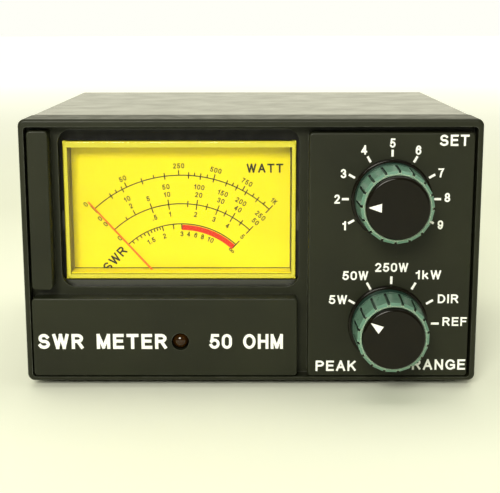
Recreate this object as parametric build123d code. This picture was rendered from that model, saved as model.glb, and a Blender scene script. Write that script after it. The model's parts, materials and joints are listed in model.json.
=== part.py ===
"""SWR and watt meter: moulded bezel, folded steel case, moving-coil meter, two knobs, two coaxial sockets.

The model is drawn in the case frame: X across, Y from the bezel's front lip towards the rear, Z up from the
bezel's underside. save() moves each piece into the part's frame, whose origin is at the middle of its base.
"""
from build123d import *
import os
from math import cos, radians, sin

os.makedirs("parts", exist_ok=True)

# ---------------------------------------------------------------- driving dimensions, millimetres
CASE_W = 130.0            # bezel width
CASE_H = 76.0             # bezel height
CASE_D = 112.0            # front lip to the cover's rear edge
FOOT_LIFT = 2.0           # bezel underside above the surface
HALF_W = CASE_W / 2

# bezel
BEZEL_D = 14.0            # how far the bezel reaches back
LIP_TOP = 2.2             # width of the front lip at the top, sides and bottom
LIP_SIDE = 1.6
LIP_BOTTOM = 1.2
RECESS_D = 5.0            # floor of the recess behind the lip
WALL = 2.0                # moulded wall thickness
FLOOR_BACK = RECESS_D + WALL
CORNER_R = 2.0
LIP_FILLET = 0.9
PAD_R = 1.1               # corner radius of the raised pads
PAD_FILLET = 0.5
BAR_PAD = (-62.7, -56.7, 27.15, 72.75)          # x0, x1, z0, z1
LOWER_PAD = (-63.05, 13.4, 1.5, 24.7)
CONTROL_PAD = (16.4, 62.6, 1.5, 72.2)
WINDOW = (-54.8, 13.9, 26.9, 72.75)
WINDOW_R = 4.0
TONGUE_T = 1.3            # rim that locates the cover
TONGUE_X = 63.5
TONGUE_TOP = 74.7
TONGUE_END = BEZEL_D + 3.0
BOSS_R = 2.4
PILOT_R = 1.15            # hole in a boss for its self-tapping screw
BEZEL_SCREW_AT = ((-59.7, 69.0), (-59.7, 6.5), (59.0, 68.0), (59.0, 6.5))

# case
SHEET = 1.0
COVER_HALF_W = 64.7
COVER_Z0 = 0.4
COVER_FRONT = BEZEL_D + 0.3
COVER_R = 2.2
TRAY_Z0 = 1.4             # underside of the chassis floor
TRAY_Z1 = TRAY_Z0 + SHEET
TRAY_HALF_W = 63.4
PANEL_FRONT = FLOOR_BACK  # front face of the chassis front panel
PANEL_BACK = PANEL_FRONT + SHEET
REAR_IN = 110.0           # inner and outer face of the rear panel
REAR_OUT = REAR_IN + SHEET
FLANGE_H = 14.0
COVER_SCREW_Y = (30.0, 96.0)
COVER_SCREW_Z = 8.0
PANEL_HALF_W = 63.0       # chassis front panel
FLOOR_FRONT_HALF_W = 62.0 # chassis floor where it runs inside the bezel
FOLD_GAP = 0.4            # clearance between a panel's top edge and the sheet above

# feet
FOOT_R = 5.0
FOOT_X = 50.0
FOOT_Y = (22.0, 100.0)
FOOT_SEAT = TRAY_Z0 - 1.4 # where the screw's head sits inside the foot

# controls
SET_X, SET_Z = 39.6, 53.5
RANGE_X, RANGE_Z = 39.3, 17.2
SET_POINTER = -88.0       # pointer angles at rest, clockwise from straight up
RANGE_POINTER = -54.0
SHAFT_R = 3.0
SHAFT_FRONT = -12.0       # outer end of both spindles, inside the knobs
SHAFT_FIT = 0.05          # radial clearance of a spindle in its neck
KNOB_FIT = 0.02           # radial clearance of a spindle in its knob
NECK_FRONT = 2.4
NUT_Y = (4.3, 6.5)
SET_NECK_R = 3.5
RANGE_NECK_R = 4.5
POT_R = 8.4
POT_BACK = 17.5
POT_WALL = 0.6
POT_TRACK_Y = (14.4, 15.6)
WIPER_Y = (12.6, 13.4)
SWITCH_R = 12.8
SWITCH_BACK = 19.0
PIN_CIRCLE_R = 10.0
PIN_END = 22.5
ROTOR_Y = (11.6, 15.4)
KNOB_GAP = 0.4
SKIRT_R = 11.4
SKIRT_T = 1.2
KNOB_BASE_R = 10.5
KNOB_FRONT_R = 10.05
KNOB_FRONT = -15.0        # front rim of the fluted body
KNOB_CONE_END = -5.0      # where the plain cone gives way to the flutes
FLUTES = 16
CAP_R = 8.65
CAP_FRONT = -16.4
CAP_SEAT = -13.2
GROOVE_W = 0.75
GROOVE_DEPTH = 0.65

# meter
METER_X = -20.4
METER_HALF_W = 33.4
LENS = (28.93, 69.2)      # z0, z1 of the raised window
LENS_FRONT = 6.5
LENS_WALL = 1.2
METER_Z0 = 9.5
METER_JOIN = 14.3         # where the window meets the case
METER_BACK = 34.0
DIAL_FRONT = 13.4
DIAL_T = 0.4
LIP_T = 0.3               # thickness of the dial's folded lip
PIVOT_Z = 20.6
NOSE_Z0 = 14.9            # lowest edge of the window's nose over the pivot
NOSE_HALF_W = 13.0
NOSE_FRONT = 8.3
NEEDLE_REST = -42.2       # needle at rest, clockwise from straight up
NEEDLE_R = 40.7
NEEDLE_Y = 12.1
NEEDLE_T = 0.3
STRAP_Z = 46.0            # height of the strap that holds the meter
STRAP_HALF_W = 3.0
STRAP_SCREW_X = (METER_X - METER_HALF_W - 4.4, METER_X + METER_HALF_W + 4.4)
TERMINAL_DX = 8.0
TERMINAL_Z = 52.0
TERMINAL_R = 1.2
DIAL_POST_DX = 27.5
DIAL_POST_Z = (34.5, 63.5)
LAMP_DX = 16.0
LAMP_Z = 49.0
LAMP_Y = (22.0, 29.4)

# movement
YOKE_R, YOKE_HOLE = 9.5, 7.65
CORE_R = 5.2
YOKE_Y = (16.0, 26.0)
COIL_IN, COIL_OUT = 5.6, 7.25
COIL_W = 3.2
COIL_Y = (14.7, 27.3)
COIL_BAR = 0.9
STAFF_R = 0.6
TIP_R = 0.34
CUP_R = 0.40
BRIDGE_T = 0.8
BRIDGE_Y = (9.7, 30.3)    # front face of the front and rear bridge
POST_X = 8.55
JEWEL_R = 1.1
STAFF_Y = (11.1, 29.6)    # where each staff narrows to its tip
TIP_Y = (10.5, 30.3)
CUP_Y = (10.4, 30.4)      # bottom of the cup in each jewel screw
SPRING_Y = (11.4, 28.6)

# indicator
LED_Z = 11.8
LED_R = 2.42
LED_FRONT = 0.1
LED_RIM = (8.2, 9.2)
LED_HOLE_R = 2.52

# rear sockets
SOCKET_X = 28.0
SOCKET_Z = 40.0
THREAD_R = 7.94
SOCKET_BORE = 6.2
SOCKET_END = 124.5
DIELECTRIC_END = 119.5
CONTACT_R = 2.7
CONTACT_BORE = 2.0
CONTACT_DEPTH = 9.0
FLANGE = 25.4
FLANGE_T = 2.4
SCREW_PITCH = 18.2
SCREW_HOLE_R = 1.6
INNER_BODY_R = 5.9        # insulator where it passes through the rear panel
INNER_BODY_Y = 107.0
CONTACT_PIN_R = 1.2
CONTACT_SEAT = 108.5      # where the contact narrows to its solder pin
JACK_Z = 14.0
JACK_NECK_R = 3.0
JACK_BORE = 1.8
JACK_Y = (97.5, 115.0)
JACK_BORE_END = 100.0

# boards
MAIN_BOARD = (-52.0, 54.0, 42.0, 90.0)          # x0, x1, y0, y1
BOARD_Z0 = 9.0
BOARD_T = 1.6
COUPLER_Y = 96.4
COUPLER = (-50.0, 50.0, 24.0, 58.0)             # x0, x1, z0, z1

LINE_T = 0.3              # copper lines on the coupler board
BOARD_TOP = BOARD_Z0 + BOARD_T

ORIGIN_Y = (SOCKET_END + CAP_FRONT) / 2         # middle of the whole length, in the case frame
HEX_SHARE = 0.866         # a hexagon's width across flats over that across corners


# ---------------------------------------------------------------- helpers
def block(x0, x1, y0, y1, z0, z1):
    """A box between two opposite corners."""
    return Pos((x0 + x1) / 2, (y0 + y1) / 2, (z0 + z1) / 2) * Box(x1 - x0, y1 - y0, z1 - z0)


def rod(radius, x, z, y0, y1):
    """A cylinder along Y."""
    return Pos(x, (y0 + y1) / 2, z) * Rot(90, 0, 0) * Cylinder(radius, y1 - y0)


def upright(radius, x, y, z0, z1):
    """A cylinder along Z."""
    return Pos(x, y, (z0 + z1) / 2) * Cylinder(radius, z1 - z0)


def elevation(x, y, z):
    """A drawing plane that faces the front."""
    return Plane(origin=(x, y, z), x_dir=(1, 0, 0), z_dir=(0, -1, 0))


def plate(x0, x1, z0, z1, y0, y1, radius):
    """An upright plate with rounded corners."""
    outline = elevation((x0 + x1) / 2, y0, (z0 + z1) / 2) * RectangleRounded(x1 - x0, z1 - z0, radius)
    return extrude(outline, amount=y0 - y1)


def hexagon(across_flats, x, z, y0, y1):
    """A hexagonal bar along Y."""
    outline = elevation(x, y0, z) * RegularPolygon(across_flats / 2 / HEX_SHARE, 6)
    return extrude(outline, amount=y0 - y1)


def front_edges(shape, y, tolerance=0.01):
    """The edges that lie in the plane at y."""
    return [e for e in shape.edges() if abs(e.bounding_box().max.Y - y) < tolerance
            and abs(e.bounding_box().min.Y - y) < tolerance]


def screw(head_r, head_h, shank_r, length):
    """A pan-head screw pointing down from its head's seat at the origin, with a cross recess."""
    head = Pos(0, 0, head_h / 2) * Cylinder(head_r, head_h)
    head = fillet(head.edges().filter_by(GeomType.CIRCLE).sort_by(Axis.Z)[-1], head_h * 0.6)
    shank = Pos(0, 0, -length / 2) * Cylinder(shank_r, length)
    slot = Pos(0, 0, head_h) * Box(head_r * 1.1, head_r * 0.24, head_h * 0.9)
    return head + shank - slot - Rot(0, 0, 90) * slot


def placed(shape, point, direction):
    """A piece drawn about +Z, turned to point its +Z along a direction."""
    return Plane(origin=point, z_dir=direction) * shape


def save(name, *shapes):
    """Write one node in the part's frame; several shapes stay separate solids of that node."""
    moved = [Pos(0, -ORIGIN_Y, FOOT_LIFT) * solid for shape in shapes for solid in shape.solids()]
    export_step(moved[0] if len(moved) == 1 else Compound(moved), f"parts/{name}.step")


# ---------------------------------------------------------------- bezel and case
def pad(x0, x1, z0, z1):
    """One raised pad of the bezel, solid back to the floor's rear face."""
    raised = plate(x0, x1, z0, z1, 0, FLOOR_BACK, PAD_R)
    return fillet(front_edges(raised, 0), PAD_FILLET)


def pocket(x0, x1, z0, z1):
    """The hollow behind a pad."""
    return block(x0 + WALL, x1 - WALL, WALL, FLOOR_BACK, z0 + WALL, z1 - WALL)


def front_bezel():
    """One moulding: lip, recess floor with the window, three raised pads and the rim for the cover."""
    pads = (BAR_PAD, LOWER_PAD, CONTROL_PAD)
    shell = plate(-HALF_W, HALF_W, 0, CASE_H, 0, BEZEL_D, CORNER_R)
    shell = fillet(front_edges(shell, 0), LIP_FILLET)
    inner = (-HALF_W + LIP_SIDE, HALF_W - LIP_SIDE, LIP_BOTTOM, CASE_H - LIP_TOP)
    shell -= plate(*inner, 0, RECESS_D, CORNER_R / 2)
    shell -= block(inner[0], inner[1], FLOOR_BACK, BEZEL_D, inner[2], inner[3])
    shell -= plate(*WINDOW, RECESS_D, FLOOR_BACK, WINDOW_R)
    rim_y0 = BEZEL_D - 4
    rim = block(-TONGUE_X, TONGUE_X, rim_y0, TONGUE_END, LIP_BOTTOM, TONGUE_TOP)
    rim = fillet(rim.edges().filter_by(Axis.Y).group_by(Axis.Z)[-1], TONGUE_T)
    rim_in = TONGUE_X - TONGUE_T
    rim -= block(-rim_in, rim_in, rim_y0, TONGUE_END, LIP_BOTTOM, TONGUE_TOP - TONGUE_T)
    shell += rim
    for outline in pads:
        shell += pad(*outline)
    for outline in pads:
        shell -= pocket(*outline)
    for x, z in BEZEL_SCREW_AT:
        shell += rod(BOSS_R, x, z, WALL - 0.5, FLOOR_BACK)
    for x, z in BEZEL_SCREW_AT:
        shell -= rod(PILOT_R, x, z, WALL + 0.4, FLOOR_BACK)
    shell -= rod(SET_NECK_R + 0.8, SET_X, SET_Z, 0, WALL)
    shell -= rod(RANGE_NECK_R + 0.7, RANGE_X, RANGE_Z, 0, WALL)
    shell -= rod(LED_HOLE_R, METER_X, LED_Z, 0, WALL)
    return shell


def top_cover():
    """Inverted channel of painted sheet, held by two screws on each side."""
    outer = block(-COVER_HALF_W, COVER_HALF_W, COVER_FRONT, CASE_D, COVER_Z0, CASE_H)
    outer = fillet(outer.edges().filter_by(Axis.Y).group_by(Axis.Z)[-1], COVER_R)
    half_in = COVER_HALF_W - SHEET
    inner = block(-half_in, half_in, COVER_FRONT, CASE_D, COVER_Z0, CASE_H - SHEET)
    inner = fillet(inner.edges().filter_by(Axis.Y).group_by(Axis.Z)[-1], COVER_R - SHEET)
    cover = outer - inner
    for y in COVER_SCREW_Y:
        cover -= Pos(0, y, COVER_SCREW_Z) * Rot(0, 90, 0) * Cylinder(1.7, CASE_W + 4)
    return cover


def chassis():
    """Folded steel: front panel, floor, rear panel and two side flanges."""
    panel_top = CASE_H - LIP_TOP - FOLD_GAP
    rear_top = CASE_H - SHEET - FOLD_GAP
    wide_y = BEZEL_D + 4
    frame = block(-FLOOR_FRONT_HALF_W, FLOOR_FRONT_HALF_W, PANEL_FRONT, wide_y, TRAY_Z0, TRAY_Z1)
    frame += block(-TRAY_HALF_W, TRAY_HALF_W, wide_y, REAR_OUT, TRAY_Z0, TRAY_Z1)
    frame += block(-PANEL_HALF_W, PANEL_HALF_W, PANEL_FRONT, PANEL_BACK, TRAY_Z0, panel_top)
    frame += block(-TRAY_HALF_W, TRAY_HALF_W, REAR_IN, REAR_OUT, TRAY_Z0, rear_top)
    for side in (-1, 1):
        inner, outer = sorted((side * TRAY_HALF_W, side * (TRAY_HALF_W - SHEET)))
        frame += block(inner, outer, wide_y + 2, REAR_IN - 2, TRAY_Z0, FLANGE_H)
    frame -= plate(WINDOW[0] - 0.8, WINDOW[1] + 0.8, LENS[0] - 0.3, WINDOW[3] - 0.3,
                   PANEL_FRONT, PANEL_BACK, 2.0)
    front_holes = [(SET_X, SET_Z, SET_NECK_R + 0.1), (RANGE_X, RANGE_Z, RANGE_NECK_R + 0.1)]
    front_holes.append((METER_X, LED_Z, LED_HOLE_R + 0.18))
    front_holes += [(x, z, 1.5) for x, z in BEZEL_SCREW_AT]
    front_holes += [(x, STRAP_Z, 1.3) for x in STRAP_SCREW_X]
    for x, z, radius in front_holes:
        frame -= rod(radius, x, z, PANEL_FRONT, PANEL_BACK)
    for x in (-SOCKET_X, SOCKET_X):
        frame -= rod(INNER_BODY_R + 0.2, x, SOCKET_Z, REAR_IN, REAR_OUT)
        for dx, dz in corners(SCREW_PITCH / 2):
            frame -= rod(SCREW_HOLE_R, x + dx, SOCKET_Z + dz, REAR_IN, REAR_OUT)
    frame -= rod(JACK_NECK_R + 0.1, 0, JACK_Z, REAR_IN, REAR_OUT)
    for x in (-FOOT_X, FOOT_X):
        for y in FOOT_Y:
            frame -= upright(1.55, x, y, TRAY_Z0, TRAY_Z1)
    for y in COVER_SCREW_Y:
        frame -= Pos(0, y, COVER_SCREW_Z) * Rot(0, 90, 0) * Cylinder(1.3, CASE_W)
    return frame


def corners(reach):
    """The four corners of a square about the origin."""
    return [(dx * reach, dz * reach) for dx in (-1, 1) for dz in (-1, 1)]


def cover_screws():
    """Two self-tapping screws on each side."""
    drawn = screw(3.0, 1.6, 1.25, 6.0)
    return [placed(drawn, (side * COVER_HALF_W, y, COVER_SCREW_Z), (side, 0, 0))
            for side in (-1, 1) for y in COVER_SCREW_Y]


def bezel_screws():
    """Screws from the chassis front panel into the bezel's bosses."""
    return [placed(screw(2.4, 1.5, 1.1, 5.0), (x, PANEL_BACK, z), (0, 1, 0)) for x, z in BEZEL_SCREW_AT]


def rubber_feet():
    """Low tapered feet with a recess for the screw."""
    feet = []
    for x in (-FOOT_X, FOOT_X):
        for y in FOOT_Y:
            height = FOOT_LIFT + TRAY_Z0
            foot = Pos(x, y, TRAY_Z0 - height / 2) * Cone(FOOT_R - 0.6, FOOT_R, height)
            foot -= upright(2.8, x, y, -FOOT_LIFT, FOOT_SEAT)
            foot -= upright(1.6, x, y, FOOT_SEAT, TRAY_Z0)
            feet.append(foot)
    return feet


def foot_screws():
    """One self-tapping screw in each foot."""
    drawn = screw(2.5, 1.3, 1.5, 5.0)
    return [placed(drawn, (x, y, FOOT_SEAT), (0, 0, -1)) for x in (-FOOT_X, FOOT_X) for y in FOOT_Y]


# ---------------------------------------------------------------- knobs and controls
def knob_skirt(x, z):
    """Thin round flange next to the panel."""
    disc = rod(SKIRT_R, x, z, -KNOB_GAP - SKIRT_T, -KNOB_GAP)
    disc = fillet(front_edges(disc, -KNOB_GAP - SKIRT_T), 0.5)
    return disc - rod(SHAFT_R + KNOB_FIT, x, z, -KNOB_GAP - SKIRT_T, -KNOB_GAP)


def knob_body(x, z, pointer):
    """Plain cone at the base, then a tapered sixteen-sided grip with a groove on each corner."""
    base_y = -KNOB_GAP - SKIRT_T
    length = base_y - KNOB_FRONT
    taper = (KNOB_BASE_R - KNOB_FRONT_R) / length
    cone_r = KNOB_BASE_R - taper * (base_y - KNOB_CONE_END)
    cone = Pos(x, (base_y + KNOB_CONE_END) / 2, z) * Rot(90, 0, 0) * Cone(
        KNOB_BASE_R, cone_r, base_y - KNOB_CONE_END)
    outline = elevation(x, KNOB_FRONT, z) * Rot(0, 0, -pointer) * RegularPolygon(KNOB_FRONT_R, FLUTES)
    wide = elevation(x, KNOB_CONE_END, z) * Rot(0, 0, -pointer) * RegularPolygon(cone_r, FLUTES)
    grip = loft([outline, wide])
    grip = chamfer(front_edges(grip, KNOB_FRONT), 0.75)
    body = cone + grip
    lean = (cone_r - KNOB_FRONT_R) / (KNOB_CONE_END - KNOB_FRONT)
    groove_l = KNOB_CONE_END - KNOB_FRONT + 1.0
    for index in range(FLUTES):
        cutter = Pos(0, -groove_l / 2 + 0.15, 0) * Box(GROOVE_W, groove_l, 2 * GROOVE_DEPTH)
        cutter = Pos(0, KNOB_CONE_END, cone_r) * Rot(atan_deg(lean), 0, 0) * cutter
        cutter = Pos(x, 0, z) * Rot(0, pointer + index * 360 / FLUTES, 0) * cutter
        body -= cutter
    body -= rod(CAP_R + 0.2, x, z, KNOB_FRONT - 1, CAP_SEAT)
    body -= rod(SHAFT_R + KNOB_FIT, x, z, SHAFT_FRONT, base_y)
    return body


def atan_deg(slope):
    """Angle of a slope, in degrees."""
    return Vector(1, 0, 0).get_angle(Vector(1, slope, 0))


def knob_cap(x, z):
    """Glossy disc let into the knob's front."""
    disc = rod(CAP_R, x, z, CAP_FRONT, CAP_SEAT)
    return fillet(front_edges(disc, CAP_FRONT), 0.8)


def control_shaft(x, z, inner_end):
    """Round spindle from the knob's socket to the control's inside."""
    return rod(SHAFT_R, x, z, SHAFT_FRONT, inner_end)


def bushing(x, z, radius):
    """Threaded neck that holds a control to the front panel."""
    neck = rod(radius, x, z, NECK_FRONT, PANEL_BACK + SHEET)
    return neck - rod(SHAFT_R + SHAFT_FIT, x, z, NECK_FRONT, PANEL_BACK + SHEET)


def control_nut(x, z, bore, across_flats):
    """Hexagonal nut on the neck."""
    return hexagon(across_flats, x, z, *NUT_Y) - rod(bore, x, z, *NUT_Y)


def control_washer(x, z, bore, radius):
    """Washer between the nut and the front panel."""
    return rod(radius, x, z, NUT_Y[1], PANEL_FRONT) - rod(bore, x, z, NUT_Y[1], PANEL_FRONT)


def set_pot_can():
    """Round steel can behind the front panel, closed at the rear."""
    can = rod(POT_R, SET_X, SET_Z, PANEL_BACK, POT_BACK)
    can -= rod(POT_R - POT_WALL, SET_X, SET_Z, PANEL_BACK + SHEET, POT_BACK - POT_WALL)
    return can - rod(SET_NECK_R, SET_X, SET_Z, PANEL_BACK, PANEL_BACK + SHEET)


def set_pot_track():
    """Insulating disc with the carbon track and its three terminals."""
    disc = rod(POT_R - POT_WALL, SET_X, SET_Z, *POT_TRACK_Y)
    lug_end, lug_foot = POT_BACK + 0.6, SET_Z - POT_R
    lugs = [block(x - 0.8, x + 0.8, POT_BACK, lug_end, lug_foot, lug_foot + 4)
            for x in (SET_X - 5, SET_X, SET_X + 5)]
    return [disc] + lugs


def set_wiper():
    """Contact arm on the inner end of the spindle."""
    hub = rod(4.2, SET_X, SET_Z, *WIPER_Y)
    arm = block(SET_X - 1.2, SET_X + 1.2, *WIPER_Y, SET_Z, SET_Z + 6.8)
    return turned(hub + arm, SET_X, SET_Z, SET_POINTER + 180)


def turned(shape, x, z, clockwise):
    """A piece turned about a Y axis, clockwise as seen from the front."""
    return Pos(x, 0, z) * Rot(0, clockwise, 0) * Pos(-x, 0, -z) * shape


def range_switch_body():
    """Round moulded housing with a rear wafer that carries the pins."""
    front_wall = 1.2
    housing = rod(SWITCH_R, RANGE_X, RANGE_Z, PANEL_BACK, SWITCH_BACK)
    housing -= rod(SWITCH_R - 1.0, RANGE_X, RANGE_Z, PANEL_BACK + front_wall, SWITCH_BACK - 1.6)
    return housing - rod(RANGE_NECK_R, RANGE_X, RANGE_Z, PANEL_BACK, PANEL_BACK + front_wall)


def range_switch_pins():
    """Twelve outer pins and one common pin on the wafer."""
    centres = [(RANGE_X, RANGE_Z)]
    for index in range(12):
        angle = radians(index * 30 + 15)
        centres.append((RANGE_X + PIN_CIRCLE_R * sin(angle), RANGE_Z + PIN_CIRCLE_R * cos(angle)))
    return [rod(0.45, x, z, SWITCH_BACK, PIN_END) for x, z in centres]


def range_rotor():
    """Moulded rotor with the contact arm."""
    y0, y1 = ROTOR_Y
    hub = rod(5.0, RANGE_X, RANGE_Z, y0, y1)
    arm = block(RANGE_X - 1.4, RANGE_X + 1.4, y0 + 1.0, y1 - 1.2, RANGE_Z, RANGE_Z + 10.6)
    return turned(hub + arm, RANGE_X, RANGE_Z, RANGE_POINTER)


# ---------------------------------------------------------------- meter
def meter_window():
    """Clear moulding: raised window, a nose over the pivot and a skirt that closes the case below it."""
    x0, x1 = METER_X - METER_HALF_W, METER_X + METER_HALF_W
    raised = plate(x0, x1, *LENS, LENS_FRONT, METER_JOIN, 1.5)
    raised = fillet(front_edges(raised, LENS_FRONT), 0.6)
    wall = LENS_WALL
    nose = plate(METER_X - NOSE_HALF_W, METER_X + NOSE_HALF_W, NOSE_Z0, LENS[0] + 2,
                 NOSE_FRONT, METER_JOIN, 0.8)
    skirt = block(x0, x1, METER_JOIN - wall, METER_JOIN, METER_Z0, LENS[0] + 1)
    hollow = block(x0 + wall, x1 - wall, LENS_FRONT + wall, METER_JOIN, LENS[0] + wall, LENS[1] - wall)
    well = block(METER_X - NOSE_HALF_W + 1, METER_X + NOSE_HALF_W - 1, NOSE_FRONT + 1.1, METER_JOIN,
                 NOSE_Z0 + 1, LENS[0] + wall + 0.1)
    return raised + nose + skirt - hollow - well


def meter_case():
    """Moulded box behind the window, with posts for the dial and bosses for the movement."""
    x0, x1 = METER_X - METER_HALF_W, METER_X + METER_HALF_W
    wall = LENS_WALL
    box = block(x0, x1, METER_JOIN, METER_BACK, METER_Z0, LENS[1])
    box -= block(x0 + wall, x1 - wall, METER_JOIN, METER_BACK - wall, METER_Z0 + wall, LENS[1] - wall)
    for side in (-1, 1):
        for z in DIAL_POST_Z:
            box += rod(1.6, METER_X + side * DIAL_POST_DX, z, DIAL_FRONT + DIAL_T, METER_BACK - wall)
        box += rod(0.9, METER_X, PIVOT_Z + side * POST_X, YOKE_Y[1], METER_BACK - wall)
        box -= rod(TERMINAL_R + 0.05, METER_X + side * TERMINAL_DX, TERMINAL_Z, METER_BACK - wall, METER_BACK)
    return box


def dial_plate():
    """Scale plate behind the window, with a tongue down into the nose and a lip folded forwards."""
    inner = METER_HALF_W - LENS_WALL - 0.15
    tongue = NOSE_HALF_W - 1.4
    back = DIAL_FRONT + DIAL_T
    z0, z1 = LENS[0] + LENS_WALL + 0.15, LENS[1] - LENS_WALL - 0.15
    scale = block(METER_X - inner, METER_X + inner, DIAL_FRONT, back, z0, z1)
    scale += block(METER_X - tongue, METER_X + tongue, DIAL_FRONT, back, PIVOT_Z + 4.4, z0)
    lip_front = LENS_FRONT + LENS_WALL + 0.15
    scale += block(METER_X - inner, METER_X + inner, lip_front, DIAL_FRONT, z0, z0 + LIP_T)
    return scale - block(METER_X - tongue, METER_X + tongue, NEEDLE_Y - 0.6, DIAL_FRONT, z0, z0 + LIP_T)


def yoke_ring():
    """Soft-iron return ring."""
    return rod(YOKE_R, METER_X, PIVOT_Z, *YOKE_Y) - rod(YOKE_HOLE, METER_X, PIVOT_Z, *YOKE_Y)


def core_magnet():
    """Round magnet in the middle of the coil."""
    return rod(CORE_R, METER_X, PIVOT_Z, *YOKE_Y)


def core_spacers():
    """Two brass keys that hold the magnet central, clear of the coil's travel."""
    y0, y1 = YOKE_Y
    key = block(METER_X - 0.9, METER_X + 0.9, y0 + 1, y1 - 1, PIVOT_Z, PIVOT_Z + YOKE_HOLE)
    key -= rod(CORE_R, METER_X, PIVOT_Z, y0, y1)
    key &= rod(YOKE_HOLE, METER_X, PIVOT_Z, y0, y1)
    return [turned(key, METER_X, PIVOT_Z, angle) for angle in (0, 180)]


def moving_coil():
    """Wound rectangular frame that turns in the gap between magnet and ring."""
    y0, y1 = COIL_Y
    outer = block(METER_X - COIL_OUT, METER_X + COIL_OUT, y0, y1, PIVOT_Z - COIL_W / 2, PIVOT_Z + COIL_W / 2)
    inner = block(METER_X - COIL_IN, METER_X + COIL_IN, y0 + COIL_BAR, y1 - COIL_BAR, PIVOT_Z - COIL_W,
                  PIVOT_Z + COIL_W)
    return turned(outer - inner, METER_X, PIVOT_Z, NEEDLE_REST)


def pivot_staffs():
    """Steel half-staffs on the coil's front and rear, each with a fine tip."""
    front = rod(STAFF_R, METER_X, PIVOT_Z, STAFF_Y[0], COIL_Y[0])
    front += rod(TIP_R, METER_X, PIVOT_Z, TIP_Y[0], STAFF_Y[0])
    rear = rod(STAFF_R, METER_X, PIVOT_Z, COIL_Y[1], STAFF_Y[1])
    rear += rod(TIP_R, METER_X, PIVOT_Z, STAFF_Y[1], TIP_Y[1])
    return [front, rear]


def pointer():
    """Tapered needle with a hub, a short tail and two balance arms."""
    back = NEEDLE_Y + NEEDLE_T
    blade = Polyline((0.3, 0), (0.2, NEEDLE_R), (-0.2, NEEDLE_R), (-0.3, 0), close=True)
    blade = extrude(elevation(METER_X, NEEDLE_Y, PIVOT_Z) * make_face(blade), amount=-NEEDLE_T)
    arms = block(METER_X - 3.6, METER_X + 3.6, NEEDLE_Y, back, PIVOT_Z - 0.35, PIVOT_Z + 0.35)
    tail = block(METER_X - 0.45, METER_X + 0.45, NEEDLE_Y, back, PIVOT_Z - 4.0, PIVOT_Z)
    hub = rod(1.5, METER_X, PIVOT_Z, NEEDLE_Y - 0.2, NEEDLE_Y + 0.8)
    weight = rod(0.7, METER_X, PIVOT_Z - 3.4, NEEDLE_Y, NEEDLE_Y + 1.2)
    needle = blade + arms + tail + hub + weight
    needle -= rod(STAFF_R, METER_X, PIVOT_Z, NEEDLE_Y - 1, NEEDLE_Y + 1)
    return turned(needle, METER_X, PIVOT_Z, NEEDLE_REST)


def bridge(plate_y, post_y0, post_y1):
    """Cross-plate on two posts that carries a jewel screw."""
    beam = block(METER_X - 9.4, METER_X + 9.4, plate_y, plate_y + BRIDGE_T, PIVOT_Z - 2.2, PIVOT_Z + 2.2)
    for side in (-1, 1):
        x = METER_X + side * POST_X
        beam += block(x - 0.8, x + 0.8, post_y0, post_y1, PIVOT_Z - 1.5, PIVOT_Z + 1.5)
    return beam - rod(JEWEL_R, METER_X, PIVOT_Z, plate_y, plate_y + BRIDGE_T)


def front_bridge():
    """Bridge over the needle's hub."""
    return bridge(BRIDGE_Y[0], BRIDGE_Y[0], YOKE_Y[0])


def rear_bridge():
    """Bridge behind the coil."""
    return bridge(BRIDGE_Y[1], YOKE_Y[1], BRIDGE_Y[1])


def jewel_screws():
    """Two cup-ended screws in which the staffs' tips turn."""
    front_end, rear_end = CUP_Y[0] + 0.4, CUP_Y[1] - 0.5
    front = rod(JEWEL_R, METER_X, PIVOT_Z, BRIDGE_Y[0] - 0.1, front_end)
    front -= rod(CUP_R, METER_X, PIVOT_Z, CUP_Y[0], front_end)
    rear = rod(JEWEL_R, METER_X, PIVOT_Z, rear_end, BRIDGE_Y[1] + 1.2)
    rear -= rod(CUP_R, METER_X, PIVOT_Z, rear_end, CUP_Y[1])
    return [front, rear]


def spiral(y, first_r, pitch, half_turns, strip=0.14, height=0.3):
    """Flat hairspring: half rings about two centres in turn, each one half a pitch wider."""
    flat = None
    for index in range(half_turns):
        side = 1 if index % 2 == 0 else -1
        radius = first_r + index * pitch / 2
        half = Circle(radius + strip) - Circle(radius)
        half &= Pos(0, side * (radius + strip), 0) * Rectangle(4 * (radius + strip), 2 * (radius + strip))
        half = Pos(0 if index % 2 == 0 else -pitch / 2, 0, 0) * half
        flat = half if flat is None else flat + half
    return extrude(elevation(METER_X, y, PIVOT_Z) * flat, amount=-height)


def hairsprings():
    """Front and rear hairsprings."""
    return [spiral(y, first_r=0.95, pitch=0.7, half_turns=7) for y in SPRING_Y]


def meter_terminals():
    """Brass studs with nuts on the meter's rear."""
    pieces = []
    nut_back = METER_BACK + 1.6
    for x in (METER_X - TERMINAL_DX, METER_X + TERMINAL_DX):
        pieces.append(rod(TERMINAL_R, x, TERMINAL_Z, METER_BACK - LENS_WALL - 1.0, METER_BACK + 5.0))
        nut = hexagon(4.0, x, TERMINAL_Z, METER_BACK, nut_back)
        pieces.append(nut - rod(TERMINAL_R, x, TERMINAL_Z, METER_BACK, nut_back))
    return pieces


def meter_lamps():
    """Two small bulbs behind the translucent dial."""
    lamps = []
    for x in (METER_X - LAMP_DX, METER_X + LAMP_DX):
        glass = rod(2.0, x, LAMP_Z, *LAMP_Y)
        lamps.append(fillet(front_edges(glass, LAMP_Y[0]), 1.9))
    return lamps


def lamp_board():
    """Strip board that carries both bulbs."""
    return block(METER_X - 22, METER_X + 22, LAMP_Y[1], LAMP_Y[1] + 1.4, LAMP_Z - 3.5, LAMP_Z + 0.5)


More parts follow.
